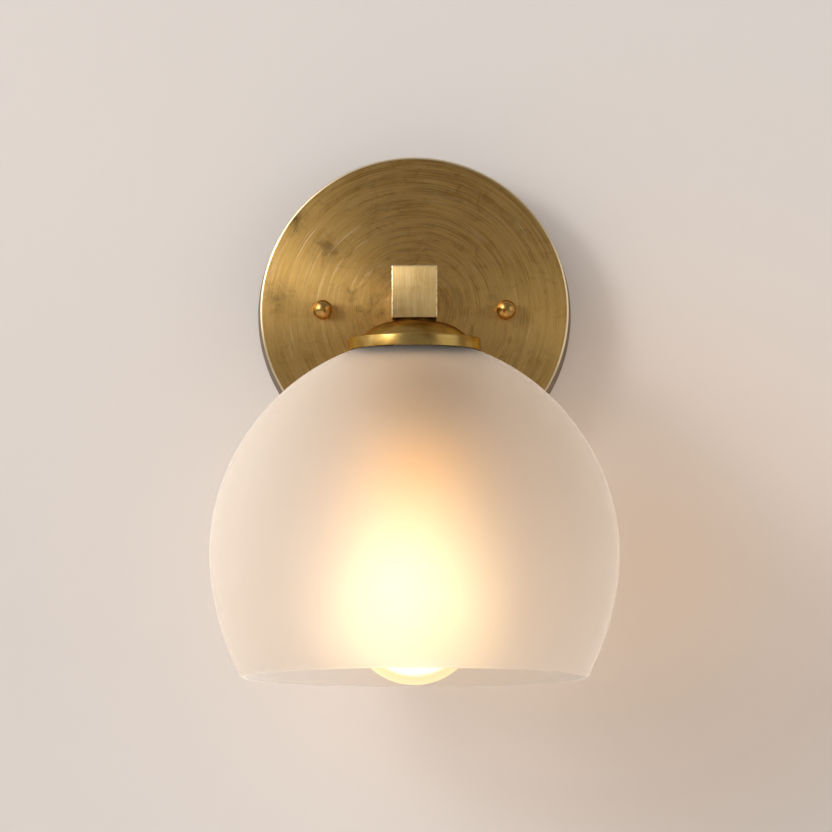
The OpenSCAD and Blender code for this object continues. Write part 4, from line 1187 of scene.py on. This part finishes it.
class SCONCE_OT_bulb_base(Step, Operator):
    """Makes the bulb's rolled screw base with its helical thread."""

    bl_idname = "sconce.bulb_base"
    bl_label = "Bulb base"

    def execute(self, context):
        low, high = corners("bulb_base")
        pitch, depth, wall = in_mm("base_pitch"), 0.7, 0.35
        crest, skirt = 13.05, high.x
        foot = low.z + 3
        thread_low = foot + 1
        fine = pitch / 16
        shell = outline(
            (crest - depth - wall, high.z),
            *wall_of(crest, high.z, thread_low, fine),
            (skirt, foot, 0.3),
            (skirt, low.z),
            (skirt - wall, low.z),
            (skirt - wall, foot - 0.1, 0.2),
            *reversed(wall_of(crest - wall, high.z - 0.3, thread_low - 0.3, fine)),
        )
        bm = lathe(shell, 96)
        bm = wound(bm, pitch, depth, thread_low - 0.3, high.z, crest - wall - 0.1, crest + 0.1)
        # The upper end is drawn in, to hold the glass
        for vert, radius, _ in walls_of(bm, high.z - 0.4, high.z + CUT, crest - depth, crest + CUT):
            vert.co.xy *= (radius - depth) / radius
        metal = fixed_metal("base_shell", on_axis(centre("bulb_base").z), "Z")
        piece(placed(bm, ON_AXIS), "bulb_base", "bulb", "base_shell", metal)
        glass = plastic("bulb_insulator_glass", "vitrite", centre("bulb_insulator"), 0.16)
        finish_nodes(glass, "bulb_insulator")
        solder = fixed_metal("tip_solder", centre("bulb_tip_contact"), "Z")
        finish_nodes(solder, "bulb_tip_contact")
        return {"FINISHED"}


class SCONCE_OT_lamp_holder(Step, Operator):
    """Makes the threaded lamp holder, its contact shell and the ring that clamps the glass."""

    bl_idname = "sconce.lamp_holder"
    bl_label = "Lamp holder"

    leg_x, tongue_x = -13.2, 4.0
    screw_x, screw_hole = 9.5, 1.3

    def execute(self, context):
        self.holder()
        self.ring()
        self.contacts()
        return {"FINISHED"}

    def holder(self):
        """The threaded body, with slots for the contacts and holes for the screws."""
        low, high = corners("socket_body")
        pitch, depth, outer_r = in_mm("holder_pitch"), 0.8, high.x
        thread_low, web_top, web_low = high.z - 24, high.z - 3.5, high.z - 6
        room_r, bore_r = 15.3, corners("screw_shell")[1].x + FIT
        body = outline(
            (room_r, high.z, 0.15),
            (outer_r - depth, high.z, 0.2),
            (outer_r - depth, high.z - 0.6),
            *wall_of(outer_r, high.z - 0.7, thread_low, pitch / 14),
            (outer_r, low.z, 0.8),
            (bore_r, low.z, 0.2),
            (bore_r, web_low),
            (0, web_low),
            (0, web_top),
            (room_r, web_top, 0.3),
        )
        bm = lathe(body, 96)
        bm = wound(bm, pitch, depth, thread_low, high.z - 0.65, outer_r - 0.1, outer_r + 0.1)
        under, over = web_low - CUT, web_top + CUT
        slots = []
        for x in (self.tongue_x, self.leg_x):
            slots.append(cuboid((x - FIT, -2 - FIT, under), (x + 0.4 + FIT, 2 + FIT, over)))
        for side in (-1, 1):
            slots.append(shifted(rod(self.screw_hole, under, over, 32), side * self.screw_x))
        bm = placed(worked(bm, slots), ON_AXIS)
        holder = plastic("phenolic_holder", "phenolic", on_axis(-40), 0.34)
        piece(bm, "socket_body", ROOT, "phenolic", holder)
        hood = plastic("phenolic_hood", "phenolic", on_axis(-20), 0.34)
        finish_nodes(hood, "socket_hood")

    def ring(self):
        """The ribbed ring, with a flange for the glass and the thread in its bore."""
        low, high = corners("shade_ring")
        pitch = in_mm("holder_pitch")
        flange_r, grip_r, flange_low = 25.0, 22.0, high.z - 2.2
        bore = corners("socket_body")[1].x + 0.08
        ring = outline(
            (bore, high.z, 0.3),
            (flange_r, high.z, 0.4),
            (flange_r, flange_low, 0.5),
            (grip_r, flange_low, 0.3),
            *wall_of(grip_r, flange_low - 0.5, low.z + 0.7, 0.8),
            (grip_r, low.z, 0.5),
            (bore, low.z, 0.4),
            *wall_of(bore, low.z + 0.6, high.z - 0.5, pitch / 14),
        )
        bm = lathe(ring, 216)
        bm = wound(bm, pitch, -0.7, low.z + 0.6, high.z - 0.5, bore - 0.1, bore + 0.1)
        ribs = (low.z + 0.4, flange_low - 0.4, grip_r - 0.1, grip_r + 0.1)
        bm = placed(ribbed(bm, 18, 0.75, *ribs), ON_AXIS)
        knurl = plastic("phenolic_ring", "phenolic", on_axis(-32), 0.3)
        piece(bm, "shade_ring", "shade_ring", "phenolic", knurl)

    def contacts(self):
        """The rolled screw shell, with its leg and the plate for the lead's screw."""
        low = corners("screw_shell")[0].z
        top, pitch, plate_top = HOLDER_TOP - 6, in_mm("base_pitch"), HOLDER_TOP - 3.1
        rim_r, crest, sheet, strip = 9, 14.05, 0.35, 0.4
        shell = outline(
            (rim_r, top - strip),
            (rim_r, top),
            (crest + sheet, top, 0.3),
            *wall_of(crest + sheet, top - 0.5, low, pitch / 16),
            *reversed(wall_of(crest, top - 0.7, low, pitch / 16)),
            (crest, top - strip),
        )
        walls = (low - 0.1, top - 0.8, crest - 0.1, crest + sheet + 0.1)
        bm = wound(lathe(shell, 96), pitch, 0.7, *walls)
        leg = cuboid((self.leg_x, -2, top - strip), (self.leg_x + strip, 2, plate_top))
        plate = cuboid((self.leg_x, -3, plate_top - strip), (-6.5, 3, plate_top))
        hole = rod(self.screw_hole, plate_top - CUT, plate_top + CUT, 32)
        plate = worked(plate, [shifted(hole, -self.screw_x)])
        bm = placed(gathered(bm, leg, plate), ON_AXIS)
        contact = fixed_metal("contact_brass", on_axis(-40), "Z")
        piece(bm, "screw_shell", ROOT, "contact_brass", contact)
        finish_nodes(contact, "centre_contact", "terminal_screws")


class SCONCE_OT_studs(Step, Operator):
    """Makes the two studs with their fine threads, riveted in the crossbar."""

    bl_idname = "sconce.studs"
    bl_label = "Studs"

    def execute(self, context):
        low, high = corners("mounting_studs")
        radius = high.z
        x, tip = high.x - radius, -low.y
        pitch, thread_low, thread_high = in_mm("stud_pitch"), 4, CANOPY_DEPTH - 2.2
        made = []
        for side in (-1, 1):
            stud = outline(
                (0, tip),
                (radius - 0.35, tip, 0.1),
                (radius, tip - 0.5),
                (radius, thread_high + 0.05),
                *wall_of(radius, thread_high, thread_low, pitch / 12),
                (radius, 0, 0.2),
                (0, 0),
                closed=False,
            )
            walls = (thread_low, thread_high, radius - 0.05, radius + 0.05)
            bm = wound(lathe(stud, 40), pitch, 0.25, *walls)
            made.append(shifted(placed(bm, OUT_OF_WALL), side * x))
        look = {"rough": (0.25, 0.4), "cloud": 0.2}
        steel = turned_metal("stud_steel", (0, 0, 0), "Y", chosen("zinc"), STEEL_WORN, **look)
        piece(gathered(*made), "mounting_studs", ROOT, "zinc_steel", steel)
        return {"FINISHED"}


class SCONCE_OT_leads(Step, Operator):
    """Makes the three leads along the routes of the construction, and their twist-on connectors."""

    bl_idname = "sconce.leads"
    bl_label = "Leads and connectors"

    def execute(self, context):
        # The bare ends rest on the terminals, beside the shanks of their screws
        radius, gap, shank = 0.95, 0.3, 1.25
        side_x = radius + gap
        rest = HOLDER_TOP - 3.5 + 0.4 + radius + 0.1
        past = -REACH - shank - radius - gap
        back = corners("canopy_nipple")[1].y
        low, high = corners("wire_connectors")
        up_z, up_y = low.z, centre("wire_connectors").y
        ups = {-1: low.x + 4.5, 1: side_x, 0: high.x - 4.5}
        end_z = corners("socket_nipple")[0].z
        run_z, turn_z, straight, inside = 0.8, -4.5, 6, 3
        for name, side, slot, tint in (
            ("hot_lead", 1, "black_lead", (0.03, 0.03, 0.032)),
            ("neutral_lead", -1, "white_lead", (0.78, 0.77, 0.73)),
        ):
            x = side * side_x
            route = [
                (side * 11, past, rest),
                (side * 7, past, rest),
                (x, -REACH, end_z - 1.5),
                (x, -REACH, end_z + 4),
                (x, -REACH, turn_z),
                (x, -REACH + 1.2, 0),
                (x, -REACH + 7, run_z),
                (x, -(REACH + CANOPY_DEPTH) / 2, run_z),
                (x, back - 4, run_z),
                (x, back + 2, run_z),
                (x, back + 5, 3),
                (x, back + 5, 10),
                (ups[side], up_y, up_z - straight),
                (ups[side], up_y, up_z + inside),
            ]
            piece(tube(route, radius), name, ROOT, slot, lead_plastic(name, tint, (x, -30, 5)))
        # The earth lead lies on the crossbar's front, under the head of its screw
        lift, earth_x = 2.3 + radius + 0.1, centre("ground_screw").x
        earth_y = corners("crossbar")[0].y - 1.05
        route = [
            (earth_x - 3, earth_y, lift),
            (earth_x + 2, earth_y, lift),
            (earth_x + 6, earth_y - 0.5, lift + 3),
            (ups[0] + 3, up_y + 2, up_z - 10),
            (ups[0], up_y, up_z - straight),
            (ups[0], up_y, up_z + inside),
        ]
        green = lead_plastic("ground_lead", (0.03, 0.26, 0.07), (earth_x, -8, 15))
        piece(tube(route, radius), "ground_lead", ROOT, "green_lead", green)

        made = []
        mouth, tall = 4.5, high.z - low.z
        for x in ups.values():
            end = mouth * 0.72
            cone = outline(
                (0, tall),
                (end - 0.4, tall, 0.5),
                (end, tall - 1),
                (mouth - 0.6, 2.5),
                (mouth, 1.5, 0.3),
                (mouth, 0, 0.3),
                (radius + gap, 0, 0.1),
                (radius + gap, tall * 0.6),
                (0, tall * 0.6),
                closed=False,
            )
            bm = lathe(cone, 96)
            made.append(shifted(bm, x, up_y, low.z))
        grip = plastic("twist_connectors", "connector", centre("wire_connectors"), 0.4, 1.2)
        piece(gathered(*made), "wire_connectors", ROOT, "connector_plastic", grip)
        return {"FINISHED"}


class SCONCE_OT_fittings(Step, Operator):
    """Finishes the pieces of the construction that keep their shapes."""

    bl_idname = "sconce.fittings"
    bl_label = "Fittings"

    def execute(self, context):
        plain, aged = chosen("brass_plain"), chosen("brass_aged")
        for node, axis in (
            ("canopy_nipple", "Y"),
            ("canopy_nut", "Y"),
            ("arm_plug", "Y"),
            ("socket_nipple", "Z"),
            ("socket_nut", "Z"),
        ):
            look = (f"brass_{node}", centre(node), axis, plain, aged)
            finish_nodes(turned_metal(*look, fine=3.0, cloud=0.15), node)
        # Painted shade: the neck collar is dark all over, for the shade in the narrow gap between the
        # block and the cap
        collar_shade = turned_metal(
            "brass_neck_collar",
            centre("neck_collar"),
            "Z",
            chosen("brass_cap_aged_and_shaded"),
            chosen("patina_and_shade"),
            fine=3.0,
            cloud=0.15,
            coat=0.0,
            rough=(0.4, 0.55),
            grazing=(0.5, 0.3, 0.1, 1.0),
        )
        finish_nodes(collar_shade, "neck_collar")
        finish_nodes(zinc_finish(), "crossbar", "lock_washer")
        finish_nodes(fixed_metal("green_screw", centre("ground_screw"), "Y"), "ground_screw")
        finish_nodes(fixed_metal("black_screw", centre("arm_set_screw"), "Z"), "arm_set_screw")
        rubber = plastic("gasket_rubber", "rubber", SHADE_AXIS, 0.62, 1.5)
        finish_nodes(rubber, "upper_gasket", "lower_gasket")
        finish_nodes(nylon(), "knob_washer_left", "knob_washer_right")
        return {"FINISHED"}


class SCONCE_OT_stage(Step, Operator):
    """Sets up the camera, the plain wall and floor, and the soft lamps."""

    bl_idname = "sconce.stage"
    bl_label = "Stage"

    def execute(self, context):
        given = context.scene.sconce_stage
        self.camera(context, given)
        self.backdrop()
        self.lamps(given)
        world = bpy.data.worlds.new("surroundings")
        world.use_nodes = True
        plain = world.node_tree.nodes["Background"]
        plain.inputs["Color"].default_value = (1.0, 0.985, 0.965, 1.0)
        plain.inputs["Strength"].default_value = given.ambient
        context.scene.world = world
        context.scene.view_settings.view_transform = "Standard"
        return {"FINISHED"}

    def camera(self, context, given):
        """A long lens that looks up at the middle of the sconce."""
        data = bpy.data.cameras.new("camera")
        data.lens = given.lens
        data.clip_start, data.clip_end = 0.05, 30
        eye = linked("camera", data)
        aim = Vector((0.0006, -REACH * MM, -0.047))
        away = Vector((0, -math.cos(given.camera_pitch), -math.sin(given.camera_pitch)))
        eye.location = aim + away * given.camera_distance
        eye.rotation_euler = (-away).to_track_quat("-Z", "Y").to_euler()
        context.scene.camera = eye

    def backdrop(self):
        """A pale wall just behind the canopy and a floor far below."""
        half, behind, floor_z = 3.0, 0.0002, -1.3
        upright = Matrix.Translation((0, behind, 0)) @ OUT_OF_WALL
        level = Matrix.Translation((0, -half, floor_z))
        for name, tone, matrix in (("wall", 1.0, upright), ("floor", 0.96, level)):
            bm = bmesh.new()
            bmesh.ops.create_grid(bm, x_segments=1, y_segments=1, size=half)
            mesh = mesh_of(placed(bm, matrix), name)
            mesh.materials.append(backdrop_paint(f"stage_{name}", tone))
            linked(name, mesh)

    def lamps(self, given):
        """A large soft lamp and a smaller one at the upper left, and a weak one at the right."""
        middle = Vector((0, -0.05, -0.03))
        for name, power, size, at in (
            ("broad", given.broad_power, 3.0, (-2.4, -1.5, 1.3)),
            ("key", given.key_power, 0.7, (-2.05, -1.95, 0.95)),
            ("fill", given.fill_power, 1.8, (2.1, -1.3, 0.3)),
        ):
            data = bpy.data.lights.new(name, "AREA")
            data.energy = power
            data.shape = "SQUARE"
            data.size = size
            lamp = linked(name, data)
            lamp.location = at
            aim = middle - lamp.location
            lamp.rotation_euler = aim.to_track_quat("-Z", "Y").to_euler()


STEPS = (
    SCONCE_OT_stage,
    SCONCE_OT_canopy,
    SCONCE_OT_knobs,
    SCONCE_OT_arm,
    SCONCE_OT_cap,
    SCONCE_OT_shade,
    SCONCE_OT_bulb,
    SCONCE_OT_bulb_base,
    SCONCE_OT_lamp_holder,
    SCONCE_OT_studs,
    SCONCE_OT_leads,
    SCONCE_OT_fittings,
)


class SCONCE_PT_panel(Panel):
    """Lists the steps, the sizes and the colours in the sidebar."""

    bl_label = "Wall Sconce"
    bl_space_type = "VIEW_3D"
    bl_region_type = "UI"
    bl_category = "Sconce"

    def draw(self, context):
        for step in STEPS:
            self.layout.operator(step.bl_idname)
        for title, group in (
            ("Sizes", context.scene.sconce_sizes),
            ("Colours", context.scene.sconce_colours),
            ("Stage", context.scene.sconce_stage),
        ):
            box = self.layout.box()
            box.label(text=title)
            for name in group.__annotations__:
                box.prop(group, name)


GROUPS = {
    "sconce_sizes": SconceSizes,
    "sconce_colours": SconceColours,
    "sconce_stage": SconceStage,
}


def register():
    for group in GROUPS.values():
        bpy.utils.register_class(group)
    for step in (*STEPS, SCONCE_PT_panel):
        bpy.utils.register_class(step)
    for name, group in GROUPS.items():
        setattr(bpy.types.Scene, name, PointerProperty(type=group))


def unregister():
    for name in GROUPS:
        delattr(bpy.types.Scene, name)
    for step in (SCONCE_PT_panel, *reversed(STEPS)):
        bpy.utils.unregister_class(step)
    for group in reversed(GROUPS.values()):
        bpy.utils.unregister_class(group)


def main():
    """Makes everything in order."""
    register()
    for step in STEPS:
        family, name = step.bl_idname.split(".")
        getattr(getattr(bpy.ops, family), name)()


if __name__ == "__main__":
    main()
